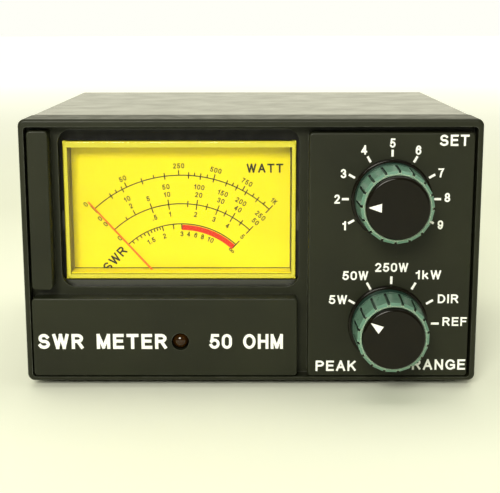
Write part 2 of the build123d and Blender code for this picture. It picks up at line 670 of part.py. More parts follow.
def meter_strap():
    """Steel strap that clamps the meter to the front panel."""
    x0, x1 = METER_X - METER_HALF_W - 0.2, METER_X + METER_HALF_W + 0.2
    z0, z1 = STRAP_Z - STRAP_HALF_W, STRAP_Z + STRAP_HALF_W
    strap = block(x0 - SHEET, x1 + SHEET, PANEL_BACK, METER_BACK + SHEET, z0, z1)
    strap += block(x0 - 7, x1 + 7, PANEL_BACK, PANEL_BACK + SHEET, z0, z1)
    strap -= block(x0, x1, PANEL_BACK, METER_BACK, z0, z1)
    for x in STRAP_SCREW_X:
        strap -= rod(1.4, x, STRAP_Z, PANEL_BACK, PANEL_BACK + SHEET)
    return strap


def strap_screws():
    """Screws that hold the strap to the front panel."""
    drawn = screw(2.2, 1.3, 1.25, 1.9)
    return [placed(drawn, (x, PANEL_BACK + SHEET, STRAP_Z), (0, 1, 0)) for x in STRAP_SCREW_X]


# ---------------------------------------------------------------- indicator
def indicator_led():
    """Five-millimetre lamp with a round nose, a rim and two legs."""
    lens = rod(LED_R, METER_X, LED_Z, LED_FRONT, LED_RIM[0])
    lens = fillet(front_edges(lens, LED_FRONT), LED_R - 0.12)
    lens += rod(LED_R + 0.43, METER_X, LED_Z, *LED_RIM)
    for x in (METER_X - 1.27, METER_X + 1.27):
        lens += block(x - 0.25, x + 0.25, LED_RIM[1], LED_RIM[1] + 3.2, LED_Z - 0.25, LED_Z + 0.25)
    return lens


def led_retainer():
    """Plastic ring that holds the lamp's rim against the front panel."""
    seat = LED_RIM[1] + 0.05
    back = seat + 0.95
    ring = rod(4.2, METER_X, LED_Z, PANEL_BACK, back) - rod(2.95, METER_X, LED_Z, PANEL_BACK, seat)
    ring -= block(METER_X - 5, METER_X + 5, PANEL_BACK, back, NOSE_Z0 - 0.1, NOSE_Z0 + 5)
    return ring - rod(2.2, METER_X, LED_Z, seat, back)


# ---------------------------------------------------------------- rear panel
def socket_shell(x):
    """Square flange with a round barrel; the thread's crests are drawn as a plain cylinder."""
    half = FLANGE / 2
    shell = plate(x - half, x + half, SOCKET_Z - half, SOCKET_Z + half, REAR_OUT, REAR_OUT + FLANGE_T, 1.5)
    barrel = rod(THREAD_R, x, SOCKET_Z, REAR_OUT + FLANGE_T, SOCKET_END)
    barrel = chamfer(front_edges(barrel, SOCKET_END), 0.4)
    shell += barrel
    shell -= rod(SOCKET_BORE, x, SOCKET_Z, REAR_OUT, SOCKET_END)
    for dx, dz in corners(SCREW_PITCH / 2):
        shell -= rod(SCREW_HOLE_R, x + dx, SOCKET_Z + dz, REAR_OUT, REAR_OUT + FLANGE_T)
    notch_y = SOCKET_END - 1.0
    notch = block(x - THREAD_R, x + THREAD_R, notch_y, SOCKET_END, SOCKET_Z - 0.8, SOCKET_Z + 0.8)
    for angle in (45, 135):
        shell -= turned(notch, x, SOCKET_Z, angle)
    return shell


def socket_insulator(x):
    """White insulator that carries the centre contact through the panel."""
    body = rod(SOCKET_BORE, x, SOCKET_Z, REAR_OUT, DIELECTRIC_END)
    body += rod(INNER_BODY_R, x, SOCKET_Z, INNER_BODY_Y, REAR_OUT)
    body -= rod(CONTACT_R, x, SOCKET_Z, CONTACT_SEAT, DIELECTRIC_END)
    return body - rod(CONTACT_PIN_R, x, SOCKET_Z, INNER_BODY_Y, CONTACT_SEAT)


def socket_contact(x):
    """Centre contact: a split tube at the mouth and a solder pin at the board."""
    tube = rod(CONTACT_R, x, SOCKET_Z, CONTACT_SEAT, DIELECTRIC_END)
    tube -= rod(CONTACT_BORE, x, SOCKET_Z, DIELECTRIC_END - CONTACT_DEPTH, DIELECTRIC_END)
    return tube + rod(CONTACT_PIN_R, x, SOCKET_Z, COUPLER_Y - 1.4, CONTACT_SEAT)


def socket_screws():
    """Four screws for each socket."""
    drawn = screw(2.7, 1.8, 1.45, 7.2)
    return [placed(drawn, (x + dx, REAR_OUT + FLANGE_T, SOCKET_Z + dz), (0, 1, 0))
            for x in (-SOCKET_X, SOCKET_X) for dx, dz in corners(SCREW_PITCH / 2)]


def socket_nuts():
    """A nut on each socket screw."""
    nuts = []
    for x in (-SOCKET_X, SOCKET_X):
        for dx, dz in corners(SCREW_PITCH / 2):
            nut = hexagon(5.5, x + dx, SOCKET_Z + dz, REAR_IN - 2.4, REAR_IN)
            nuts.append(nut - rod(1.5, x + dx, SOCKET_Z + dz, REAR_IN - 2.4, REAR_IN))
    return nuts


def lamp_jack():
    """Socket for the lamps' supply plug: a moulded body and a threaded neck with a blind bore."""
    body = block(-4, 4, JACK_Y[0], REAR_IN, JACK_Z - 4, JACK_Z + 4)
    body += rod(JACK_NECK_R, 0, JACK_Z, REAR_IN, JACK_Y[1])
    return body - rod(JACK_BORE, 0, JACK_Z, JACK_BORE_END, JACK_Y[1])


def lamp_jack_nut():
    """Nut and washer outside the panel."""
    washer_end, nut_end = REAR_OUT + 0.5, REAR_OUT + 2.5
    nut = hexagon(8.0, 0, JACK_Z, washer_end, nut_end) + rod(4.6, 0, JACK_Z, REAR_OUT, washer_end)
    return nut - rod(JACK_NECK_R, 0, JACK_Z, REAR_OUT, nut_end)


# ---------------------------------------------------------------- boards
def coupler_board():
    """Upright board soldered to both centre contacts."""
    x0, x1, z0, z1 = COUPLER
    board = block(x0, x1, COUPLER_Y, COUPLER_Y + BOARD_T, z0, z1)
    for x in (-SOCKET_X, SOCKET_X):
        board -= rod(CONTACT_PIN_R, x, SOCKET_Z, COUPLER_Y, COUPLER_Y + BOARD_T)
    return board


def coupler_lines():
    """Wide through line between the sockets and two thin sensing lines beside it."""
    y0, y1 = COUPLER_Y - LINE_T, COUPLER_Y
    through = block(-SOCKET_X - 3, SOCKET_X + 3, y0, y1, SOCKET_Z - 2.5, SOCKET_Z + 2.5)
    for x in (-SOCKET_X, SOCKET_X):
        through -= rod(CONTACT_PIN_R, x, SOCKET_Z, y0, y1)
    sensing = [block(-22, 22, y0, y1, z - 0.6, z + 0.6) for z in (SOCKET_Z - 5, SOCKET_Z + 5)]
    return [through] + sensing


def axial(radius, length, x, y, z, lead=3.0):
    """A wire-ended part that lies along X."""
    body = Pos(x, y, z) * Rot(0, 90, 0) * Cylinder(radius, length)
    wire = Pos(x, y, z) * Rot(0, 90, 0) * Cylinder(0.3, length + 2 * lead)
    return body + wire


def coupler_diodes():
    """Detector diodes at the ends of the sensing lines."""
    return [axial(0.9, 4.0, side * 30.0, COUPLER_Y - 1.2, SOCKET_Z + side * 9.5, 2.0) for side in (-1, 1)]


def main_board():
    """Level board on four posts."""
    x0, x1, y0, y1 = MAIN_BOARD
    board = block(x0, x1, y0, y1, BOARD_Z0, BOARD_TOP)
    for x, y in post_places():
        board -= upright(1.35, x, y, BOARD_Z0, BOARD_TOP)
    return board


def post_places():
    """Where the board's four posts stand."""
    x0, x1, y0, y1 = MAIN_BOARD
    return [(x, y) for x in (x0 + 4, x1 - 4) for y in (y0 + 4, y1 - 4)]


def board_posts():
    """Threaded posts riveted into the chassis floor."""
    return [upright(2.5, x, y, TRAY_Z1, BOARD_Z0) - upright(1.3, x, y, TRAY_Z1 + 1, BOARD_Z0)
            for x, y in post_places()]


def board_screws():
    """Screws into the posts."""
    return [placed(screw(2.4, 1.5, 1.25, 5.0), (x, y, BOARD_TOP), (0, 0, 1)) for x, y in post_places()]


def trimmers():
    """One calibration trimmer for each power range."""
    row_y = 53.5
    case_top = BOARD_TOP + 4.0
    dial_top = case_top + 0.8
    row = []
    for index in range(4):
        x = 2.0 + index * 11.0
        case = block(x - 3.3, x + 3.3, row_y - 3.5, row_y + 3.5, BOARD_TOP, case_top)
        dial = upright(2.1, x, row_y, case_top, dial_top)
        slot = block(x - 1.7, x + 1.7, row_y - 0.4, row_y + 0.4, case_top + 0.3, dial_top)
        row.append(case + dial - slot)
    return row


def capacitors():
    """Two upright electrolytic capacitors and two small block capacitors."""
    pieces = []
    for x in (-30.0, -19.0):
        can = upright(3.15, x, 56.0, BOARD_TOP, BOARD_TOP + 11.0)
        pieces.append(fillet(can.edges().filter_by(GeomType.CIRCLE).sort_by(Axis.Z)[-1], 0.5))
        pieces.append(block(x - 3.6, x + 3.6, 70.0, 72.6, BOARD_TOP, BOARD_TOP + 6.0))
    return pieces


def resistors():
    """Wire-ended resistors on the main board."""
    return [axial(1.15, 6.3, 4.0 + 14.0 * column, 66.0 + 7.0 * row, BOARD_TOP + 1.3)
            for column in range(3) for row in range(3)]


# ---------------------------------------------------------------- write every node
save("front_bezel", front_bezel())
save("top_cover", top_cover())
save("chassis", chassis())
save("cover_screws", *cover_screws())
save("bezel_screws", *bezel_screws())
save("rubber_feet", *rubber_feet())
save("foot_screws", *foot_screws())

save("set_knob_skirt", knob_skirt(SET_X, SET_Z))
save("set_knob_body", knob_body(SET_X, SET_Z, SET_POINTER))
save("set_knob_cap", knob_cap(SET_X, SET_Z))
save("set_shaft", control_shaft(SET_X, SET_Z, WIPER_Y[0]))
save("set_wiper", set_wiper())
save("set_pot_bushing", bushing(SET_X, SET_Z, SET_NECK_R))
save("set_pot_nut", control_nut(SET_X, SET_Z, SET_NECK_R, 10.0))
save("set_pot_can", set_pot_can())
save("set_pot_track", *set_pot_track())

save("range_knob_skirt", knob_skirt(RANGE_X, RANGE_Z))
save("range_knob_body", knob_body(RANGE_X, RANGE_Z, RANGE_POINTER))
save("range_knob_cap", knob_cap(RANGE_X, RANGE_Z))
save("range_shaft", control_shaft(RANGE_X, RANGE_Z, ROTOR_Y[0]))
save("range_rotor", range_rotor())
save("range_switch_bushing", bushing(RANGE_X, RANGE_Z, RANGE_NECK_R))
save("range_switch_nut", control_nut(RANGE_X, RANGE_Z, RANGE_NECK_R, 12.0))
save("control_washers",
     control_washer(SET_X, SET_Z, SET_NECK_R + 0.05, 5.5),
     control_washer(RANGE_X, RANGE_Z, RANGE_NECK_R + 0.05, 6.8))
save("range_switch_body", range_switch_body())
save("range_switch_pins", *range_switch_pins())

save("meter_window", meter_window())
save("meter_case", meter_case())
save("dial_plate", dial_plate())
save("yoke_ring", yoke_ring())
save("core_magnet", core_magnet())
save("core_spacers", *core_spacers())
save("moving_coil", moving_coil())
save("pivot_staffs", *pivot_staffs())
save("pointer", pointer())
save("front_bridge", front_bridge())
save("rear_bridge", rear_bridge())
save("jewel_screws", *jewel_screws())
save("hairsprings", *hairsprings())
save("meter_terminals", *meter_terminals())
save("meter_lamps", *meter_lamps())
save("lamp_board", lamp_board())
save("meter_strap", meter_strap())
save("strap_screws", *strap_screws())
save("indicator_led", indicator_led())
save("led_retainer", led_retainer())

save("tx_socket_shell", socket_shell(-SOCKET_X))
save("antenna_socket_shell", socket_shell(SOCKET_X))
save("socket_insulators", *(socket_insulator(x) for x in (-SOCKET_X, SOCKET_X)))
save("socket_contacts", *(socket_contact(x) for x in (-SOCKET_X, SOCKET_X)))
save("socket_fixings", *socket_screws(), *socket_nuts())
save("lamp_jack", lamp_jack())
save("lamp_jack_nut", lamp_jack_nut())

save("coupler_board", coupler_board())
save("coupler_lines", *coupler_lines(), *coupler_diodes())
save("main_board", main_board())
save("board_fixings", *board_posts(), *board_screws())
save("trimmers", *trimmers())
save("board_parts", *capacitors(), *resistors())
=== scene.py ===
"""SWR meter: finishes, printing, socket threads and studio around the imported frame. Units are metres."""

import json
import math

import bmesh
import bpy
from mathutils import Matrix, Vector


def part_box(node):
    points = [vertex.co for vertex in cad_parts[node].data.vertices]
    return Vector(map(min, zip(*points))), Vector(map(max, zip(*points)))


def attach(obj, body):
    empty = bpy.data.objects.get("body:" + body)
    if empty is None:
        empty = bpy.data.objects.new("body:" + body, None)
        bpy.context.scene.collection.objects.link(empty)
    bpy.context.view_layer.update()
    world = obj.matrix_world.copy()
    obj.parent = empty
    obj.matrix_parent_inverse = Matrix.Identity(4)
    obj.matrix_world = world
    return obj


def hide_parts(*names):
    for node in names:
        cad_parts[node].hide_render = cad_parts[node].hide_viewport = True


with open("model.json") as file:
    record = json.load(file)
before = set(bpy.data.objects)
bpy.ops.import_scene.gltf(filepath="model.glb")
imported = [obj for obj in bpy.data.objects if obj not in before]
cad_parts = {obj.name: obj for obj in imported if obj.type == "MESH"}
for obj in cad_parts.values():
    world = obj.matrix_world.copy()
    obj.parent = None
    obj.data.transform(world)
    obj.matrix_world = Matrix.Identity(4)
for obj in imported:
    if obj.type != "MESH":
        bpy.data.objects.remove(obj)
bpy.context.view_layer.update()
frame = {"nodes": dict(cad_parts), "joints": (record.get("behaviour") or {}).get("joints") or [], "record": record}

MM = 0.001
JOINTS = {joint["name"]: joint for joint in frame["joints"]}
SET_AXIS = Vector(JOINTS["set_turn"]["pos_m"])
RANGE_AXIS = Vector(JOINTS["range_turn"]["pos_m"])
PIVOT = Vector(JOINTS["needle_swing"]["pos_m"])
BEZEL_LOW, BEZEL_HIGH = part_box("front_bezel")
FRONT_Y = BEZEL_LOW.y
CASE_ZERO = Vector(((BEZEL_LOW.x + BEZEL_HIGH.x) / 2, FRONT_Y, BEZEL_LOW.z))
DIAL_T = 0.4 * MM                # thickness of the dial plate
DIAL_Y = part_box("dial_plate")[1].y - DIAL_T
CAP_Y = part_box("set_knob_cap")[0].y
CAP_R = (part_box("set_knob_cap")[1].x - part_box("set_knob_cap")[0].x) / 2
REAR_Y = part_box("chassis")[1].y
INK = 0.03 * MM                  # thickness of printed ink
DIGIT_H = 2.6 * MM               # height of the panel's scale lettering
TITLE_H = 3.15 * MM              # height of the control names
SMALL_H = 1.5 * MM              # height of the dial's digits


# ---------------------------------------------------------------- material helpers
class Finish:
    """A Principled material and the few node groups that the finishes share."""

    def __init__(self, name, base, roughness, metallic=0.0, **sockets):
        self.material = bpy.data.materials.new(name)
        self.material.use_nodes = True
        self.tree = self.material.node_tree
        self.bsdf = self.tree.nodes["Principled BSDF"]
        self.coordinates = self.node("ShaderNodeTexCoord").outputs["Object"]
        self.base = base
        self.set("Base Color", (*base, 1.0))
        self.set("Roughness", roughness)
        self.set("Metallic", metallic)
        for socket, value in sockets.items():
            self.set(socket.replace("_", " "), value)

    def set(self, socket, value):
        self.bsdf.inputs[socket].default_value = value

    def node(self, kind, **values):
        made = self.tree.nodes.new(kind)
        for key, value in values.items():
            setattr(made, key, value)
        return made

    def link(self, source, target):
        self.tree.links.new(source, target)

    def noise(self, scale, detail=3.0, stretch=(1, 1, 1), seed=0.0):
        """A noise value about 0.5; scale is in features per metre."""
        place = self.node("ShaderNodeMapping")
        place.inputs["Scale"].default_value = stretch
        place.inputs["Location"].default_value = (seed, seed * 0.7, -seed)
        self.link(self.coordinates, place.inputs["Vector"])
        texture = self.node("ShaderNodeTexNoise")
        texture.inputs["Scale"].default_value = scale
        texture.inputs["Detail"].default_value = detail
        self.link(place.outputs["Vector"], texture.inputs["Vector"])
        return texture.outputs["Fac"]

    def cells(self, scale, feature="F1"):
        """Distance to the nearest of scattered points, for specks and grains."""
        texture = self.node("ShaderNodeTexVoronoi", feature=feature)
        texture.inputs["Scale"].default_value = scale
        self.link(self.coordinates, texture.inputs["Vector"])
        return texture.outputs["Distance"]

    def mapped(self, source, low, high, to_low, to_high):
        """A value carried from one range to another, clamped."""
        remap = self.node("ShaderNodeMapRange")
        for index, value in enumerate((low, high, to_low, to_high), start=1):
            remap.inputs[index].default_value = value
        self.link(source, remap.inputs[0])
        return remap.outputs[0]

    def maths(self, operation, first, second):
        step = self.node("ShaderNodeMath", operation=operation)
        for index, value in enumerate((first, second)):
            if isinstance(value, (int, float)):
                step.inputs[index].default_value = value
            else:
                self.link(value, step.inputs[index])
        return step.outputs[0]

    def mixed(self, factor, first, second):
        """A colour between two; each is a colour or the output of a node."""
        mix = self.node("ShaderNodeMix", data_type="RGBA")
        self.link(factor, mix.inputs["Factor"])
        for name, value in (("A", first), ("B", second)):
            socket = [s for s in mix.inputs if s.name == name and s.type == "RGBA"][0]
            if isinstance(value, tuple):
                socket.default_value = (*value, 1.0)
            else:
                self.link(value, socket)
        return [s for s in mix.outputs if s.type == "RGBA"][0]

    def tone(self, factor, amount):
        """Base colour that varies a little darker and lighter."""
        dark = tuple(channel * (1 - amount) for channel in self.base)
        light = tuple(min(1.0, channel * (1 + amount)) for channel in self.base)
        return self.mixed(self.mapped(factor, 0.3, 0.7, 0, 1), dark, light)

    def rough(self, factor, low, high):
        self.link(self.mapped(factor, 0.3, 0.7, low, high), self.bsdf.inputs["Roughness"])

    def relief(self, height, distance, strength=1.0):
        """A bump; distance is the height of the relief in metres."""
        bump = self.node("ShaderNodeBump")
        bump.inputs["Distance"].default_value = distance
        bump.inputs["Strength"].default_value = strength
        self.link(height, bump.inputs["Height"])
        self.link(bump.outputs["Normal"], self.bsdf.inputs["Normal"])

    def colour(self, source):
        self.link(source, self.bsdf.inputs["Base Color"])

    def edges(self, radius):
        """1 on edges sharper than the radius, 0 on flat stretches."""
        bevel = self.node("ShaderNodeBevel", samples=4)
        bevel.inputs["Radius"].default_value = radius
        geometry = self.node("ShaderNodeNewGeometry")
        product = self.node("ShaderNodeVectorMath", operation="DOT_PRODUCT")
        self.link(bevel.outputs["Normal"], product.inputs[0])
        self.link(geometry.outputs["Normal"], product.inputs[1])
        return self.mapped(product.outputs["Value"], 0.998, 0.93, 0, 1)


def dusted(finish, surface, amount=0.5, scale=900, size=0.05):
    """Fine pale specks of dust scattered over a surface colour."""
    specks = finish.mapped(finish.cells(scale), size, size * 0.4, 0, 1)
    patches = finish.mapped(finish.noise(120, seed=3.1), 0.45, 0.62, 0, amount)
    return finish.mixed(finish.maths("MULTIPLY", specks, patches), surface, (0.55, 0.55, 0.48))


# ---------------------------------------------------------------- finishes
def moulded_black():
    """Satin black ABS with a fine spark-eroded grain, a little dust, and edges lightened partly as rubbed wear and
    partly as a painted highlight.
    """
    finish = Finish("moulded_black", (0.013, 0.0145, 0.006), 0.42, Specular_IOR_Level=0.24)
    surface = finish.tone(finish.noise(60, detail=5), 0.16)
    wear = finish.mapped(finish.noise(400), 0.4, 0.65, 0.3, 0.9)
    # painted highlight, partly real wear: edges are lightened, some of it rubbed wear and some of it standing in
    # for the bright reflections along them
    rubbed_and_highlit = finish.maths("MULTIPLY", finish.edges(0.4 * MM), wear)
    surface = finish.mixed(rubbed_and_highlit, surface, (0.075, 0.08, 0.065))
    finish.colour(dusted(finish, surface, amount=0.25))
    finish.rough(finish.noise(220, detail=4, seed=1.7), 0.36, 0.5)
    finish.relief(finish.noise(5200, detail=2), 0.012 * MM, 0.55)
    return finish.material


def cover_paint():
    """Baked satin black paint over steel, with a faint orange peel and scuffs."""
    finish = Finish("cover_paint", (0.024, 0.025, 0.019), 0.22, Specular_IOR_Level=0.6)
    surface = finish.tone(finish.noise(35, detail=6), 0.15)
    scuffs = finish.mapped(finish.noise(900, stretch=(1, 0.03, 1), seed=5.0), 0.66, 0.72, 0, 0.25)
    surface = finish.mixed(scuffs, surface, (0.06, 0.06, 0.05))
    finish.colour(dusted(finish, surface, amount=0.25))
    finish.rough(finish.noise(90, detail=4, seed=2.2), 0.17, 0.25)
    finish.relief(finish.noise(2600, detail=2), 0.004 * MM, 0.35)
    return finish.material


def zinc_steel():
    """Bright zinc plate with fine turning marks."""
    finish = Finish("zinc_steel", (0.56, 0.56, 0.53), 0.32, metallic=1.0)
    finish.colour(finish.tone(finish.noise(240, detail=4), 0.16))
    finish.rough(finish.noise(1500, stretch=(1, 1, 0.1)), 0.25, 0.45)
    finish.relief(finish.noise(4200, stretch=(1, 0.2, 1)), 0.006 * MM, 0.6)
    return finish.material


def blackened_steel():
    """Black oxide screw heads, worn to metal on their edges."""
    finish = Finish("blackened_steel", (0.035, 0.034, 0.032), 0.38, metallic=0.75)
    patches = finish.mapped(finish.noise(1300), 0.35, 0.6, 0.2, 1)
    worn = finish.maths("MULTIPLY", finish.edges(0.12 * MM), patches)
    finish.colour(finish.mixed(worn, finish.tone(finish.noise(500), 0.25), (0.30, 0.29, 0.27)))
    finish.rough(finish.noise(900), 0.3, 0.5)
    finish.relief(finish.noise(3600), 0.006 * MM, 0.6)
    return finish.material


def foot_rubber():
    """Matt black rubber with a dry bloom."""
    finish = Finish("foot_rubber", (0.022, 0.022, 0.021), 0.78, Specular_IOR_Level=0.3)
    bloom = finish.mapped(finish.noise(350, detail=5), 0.45, 0.7, 0, 0.5)
    finish.colour(finish.mixed(bloom, (0.022, 0.022, 0.021), (0.06, 0.06, 0.056)))
    finish.rough(finish.noise(700), 0.68, 0.88)
    finish.relief(finish.noise(4000, detail=4), 0.02 * MM, 0.6)
    return finish.material


def knob_green():
    """Grey-green moulded plastic, with painted shade on its foot and in its grooves and a painted highlight on the
    edges at the front.
    """
    finish = Finish("knob_green", (0.12, 0.245, 0.18), 0.32, Specular_IOR_Level=0.4)
    depth = finish.node("ShaderNodeSeparateXYZ")
    finish.link(finish.node("ShaderNodeTexCoord").outputs["Generated"], depth.inputs[0])
    # painted shade: the foot of the knob, next to the panel, is darkened
    foot = finish.mapped(depth.outputs["Y"], 0.77, 0.8, 0, 1)
    surface = finish.mixed(foot, finish.tone(finish.noise(260, detail=4), 0.12), (0.018, 0.055, 0.04))
    # painted highlight: the edges at the front of the knob are made pale
    front = finish.mapped(depth.outputs["Y"], 0.02, 0.06, 0.9, 0.1)
    rim = finish.maths("MULTIPLY", finish.edges(0.2 * MM), front)
    surface = finish.mixed(rim, surface, (0.62, 0.72, 0.52))
    # painted shade: grooves and hollows are darkened from ambient occlusion
    shade = finish.node("ShaderNodeAmbientOcclusion", samples=8, only_local=True)
    shade.inputs["Distance"].default_value = 1.2 * MM
    painted_groove_shade = finish.mapped(shade.outputs["AO"], 0.45, 0.85, 1, 0)
    finish.colour(finish.mixed(painted_groove_shade, surface, (0.004, 0.009, 0.006)))
    finish.rough(finish.noise(800, detail=3, seed=4.0), 0.26, 0.4)
    finish.relief(finish.noise(2600), 0.008 * MM, 0.5)
    return finish.material


def knob_gloss():
    """Polished black plastic with faint wiping marks."""
    finish = Finish("knob_gloss", (0.004, 0.003, 0.001), 0.16, Specular_IOR_Level=0.2)
    finish.colour(dusted(finish, finish.tone(finish.noise(180), 0.3), amount=0.1, scale=1400, size=0.03))
    finish.rough(finish.noise(500, stretch=(1, 1, 0.2), detail=5), 0.12, 0.24)
    finish.relief(finish.noise(1800), 0.004 * MM, 0.5)
    return finish.material


def nickel_plate():
    """Bright nickel with tiny scratches and dull patches."""
    finish = Finish("nickel_plate", (0.70, 0.69, 0.64), 0.2, metallic=1.0)
    finish.colour(finish.tone(finish.noise(180, detail=6), 0.12))
    finish.rough(finish.noise(650, detail=5), 0.12, 0.34)
    finish.relief(finish.noise(2600, stretch=(1, 0.15, 1)), 0.005 * MM, 0.6)
    return finish.material


def plain_brass():
    """Turned brass, slightly tarnished."""
    finish = Finish("plain_brass", (0.68, 0.50, 0.22), 0.3, metallic=1.0)
    tarnish = finish.mapped(finish.noise(420, detail=6), 0.45, 0.7, 0, 0.6)
    finish.colour(finish.mixed(tarnish, (0.68, 0.50, 0.22), (0.36, 0.24, 0.10)))
    finish.rough(finish.noise(1200), 0.24, 0.42)
    finish.relief(finish.noise(3600, stretch=(1, 0.2, 1)), 0.005 * MM, 0.6)
    return finish.material


def white_insulator():
    """White insulator with a waxy depth."""
    finish = Finish("white_insulator", (0.80, 0.79, 0.73), 0.38,
                    Subsurface_Weight=0.15, Subsurface_Scale=0.8 * MM)
    finish.colour(finish.tone(finish.noise(300, detail=4), 0.05))
    finish.rough(finish.noise(900), 0.3, 0.46)
    finish.relief(finish.noise(2200, stretch=(1, 0.2, 1)), 0.008 * MM, 0.5)
    return finish.material


def black_moulding():
    """Plain black moulding for the inner housings."""
    finish = Finish("black_moulding", (0.03, 0.03, 0.03), 0.5)
    finish.colour(finish.tone(finish.noise(200, detail=4), 0.2))
    finish.rough(finish.noise(700), 0.42, 0.6)
    finish.relief(finish.noise(3800), 0.012 * MM, 0.5)
    return finish.material


def dial_yellow():
    """Matt yellow dial: printed card with a fine tooth."""
    finish = Finish("dial_yellow", (0.93, 0.80, 0.004), 0.6, Specular_IOR_Level=0.1)
    finish.colour(finish.tone(finish.noise(90, detail=6), 0.03))
    finish.rough(finish.noise(1500), 0.48, 0.62)
    finish.relief(finish.noise(7000, detail=2), 0.006 * MM, 0.4)
    return finish.material


def ivory_housing():
    """Pale yellow moulding around the dial; the yellow is painted light, standing in for the dial's light seen
    through the clear walls.
    """
    finish = Finish("ivory_housing", (0.86, 0.80, 0.33), 0.45, Specular_IOR_Level=0.3)
    finish.colour(finish.tone(finish.noise(140, detail=5), 0.08))
    finish.rough(finish.noise(800), 0.38, 0.55)
    finish.relief(finish.noise(3400), 0.01 * MM, 0.5)
    return finish.material


def plated_iron(name, base):
    """Soft iron or magnet alloy with a ground surface."""
    finish = Finish(name, base, 0.42, metallic=1.0)
    finish.colour(finish.tone(finish.noise(300, detail=5), 0.2))
    finish.rough(finish.noise(1400, stretch=(1, 0.1, 1)), 0.32, 0.55)
    finish.relief(finish.noise(3000, stretch=(1, 0.1, 1)), 0.01 * MM, 0.6)
    return finish.material


def wound_copper():
    """Enamelled copper, with the lie of its turns as fine ribs."""
    finish = Finish("wound_copper", (0.62, 0.25, 0.11), 0.3, metallic=0.9, Coat_Weight=0.4)
    finish.colour(finish.tone(finish.noise(600, detail=3), 0.2))
    finish.rough(finish.noise(900), 0.24, 0.4)
    finish.relief(finish.noise(9000, stretch=(0.1, 0.1, 1)), 0.02 * MM, 0.7)
    return finish.material


def needle_red():
    """Thin orange-red paint on the aluminium needle."""
    finish = Finish("needle_red", (0.84, 0.17, 0.006), 0.45, Specular_IOR_Level=0.2)
    finish.colour(finish.tone(finish.noise(900, detail=3), 0.08))
    finish.rough(finish.noise(1500), 0.34, 0.5)
    finish.relief(finish.noise(5000), 0.004 * MM, 0.4)
    return finish.material


def amber_lamp():
    """Dark amber epoxy of an unlit lamp."""
    finish = Finish("amber_lamp", (0.025, 0.009, 0.0006), 0.06, Specular_IOR_Level=0.4)
    finish.colour(finish.tone(finish.noise(500, detail=2), 0.15))
    finish.rough(finish.noise(1200), 0.05, 0.14)
    finish.relief(finish.noise(1500), 0.003 * MM, 0.4)
    return finish.material


def board_laminate(name, base):
    """Circuit board: a woven ground under the lacquer."""
    finish = Finish(name, base, 0.35, Coat_Weight=0.3)
    weave = finish.noise(2400, stretch=(1, 0.15, 1))
    finish.colour(finish.tone(weave, 0.18))
    finish.rough(finish.noise(600), 0.28, 0.45)
    finish.relief(weave, 0.01 * MM, 0.5)
    return finish.material


def lacquered(name, base):
    """Glossy small components."""
    finish = Finish(name, base, 0.25, Coat_Weight=0.4)
    finish.colour(finish.tone(finish.noise(500, detail=4), 0.14))
    finish.rough(finish.noise(900), 0.18, 0.36)
    finish.relief(finish.noise(2600), 0.008 * MM, 0.5)
    return finish.material


def clear_moulding(name, tint, roughness):
    """Thin clear moulding: it passes light unbent, and its surface shines with faint wiping marks."""
    finish = Finish(name, (0.9, 0.9, 0.88), roughness, metallic=1.0)
    finish.rough(finish.noise(260, detail=6, stretch=(1, 1, 0.4)), roughness * 0.6, roughness * 1.8)
    finish.relief(finish.noise(220, detail=3), 0.003 * MM, 0.3)
    gloss = finish.node("ShaderNodeFresnel")
    gloss.inputs["IOR"].default_value = 1.36
    through = finish.node("ShaderNodeBsdfTransparent")
    through.inputs["Color"].default_value = (*tint, 1.0)
    mix = finish.node("ShaderNodeMixShader")
    finish.link(gloss.outputs[0], mix.inputs[0])
    finish.link(through.outputs[0], mix.inputs[1])
    finish.link(finish.bsdf.outputs[0], mix.inputs[2])
    finish.link(mix.outputs[0], finish.tree.nodes["Material Output"].inputs["Surface"])
    return finish.material


def ink(name, base):
    """Screen-printed ink with slightly uneven cover; the same finish also makes the painted yellow glow and the
    painted shadow lines round the dial.
    """
    finish = Finish(name, base, 0.55, Specular_IOR_Level=0.15)
    finish.colour(finish.tone(finish.noise(1600, detail=4), 0.05))
    finish.rough(finish.noise(1200), 0.42, 0.6)
    finish.relief(finish.noise(6000), 0.004 * MM, 0.4)
    return finish.material


FINISHES = {
    "bezel_plastic": moulded_black(),
    "case_paint": cover_paint(),
    "screw_steel": zinc_steel(),
    "black_screw": blackened_steel(),
    "foot_rubber": foot_rubber(),
    "knob_grip": knob_green(),
    "knob_black": knob_gloss(),
    "nickel": nickel_plate(),
    "brass": plain_brass(),
    "white_plastic": white_insulator(),
    "window_clear": clear_moulding("window_clear", (0.985, 0.985, 0.94), 0.02),
    "meter_plastic": black_moulding(),
    "meter_housing": ivory_housing(),
    "dial_face": dial_yellow(),
    "soft_iron": plated_iron("soft_iron", (0.38, 0.38, 0.39)),
    "magnet": plated_iron("magnet_alloy", (0.24, 0.24, 0.26)),
    "copper": wound_copper(),
    "spindle_steel": plated_iron("spindle_steel", (0.60, 0.60, 0.59)),
    "needle_paint": needle_red(),
    "spring_bronze": lacquered("spring_bronze", (0.55, 0.32, 0.14)),
    "lamp_glass": clear_moulding("lamp_glass", (0.98, 0.96, 0.90), 0.03),
    "lamp_amber": amber_lamp(),
    "board_green": board_laminate("board_green", (0.02, 0.13, 0.045)),
    "board_brown": board_laminate("board_brown", (0.33, 0.19, 0.08)),
    "trimmer_blue": lacquered("trimmer_blue", (0.03, 0.09, 0.36)),
    "component_body": lacquered("component_body", (0.10, 0.10, 0.17)),
}
WHITE_INK = ink("white_ink", (0.95, 0.96, 0.92))
BLACK_INK_AND_SHADOW = ink("black_ink_and_shadow", (0.012, 0.012, 0.008))
RED_INK = ink("red_ink", (0.74, 0.02, 0.003))
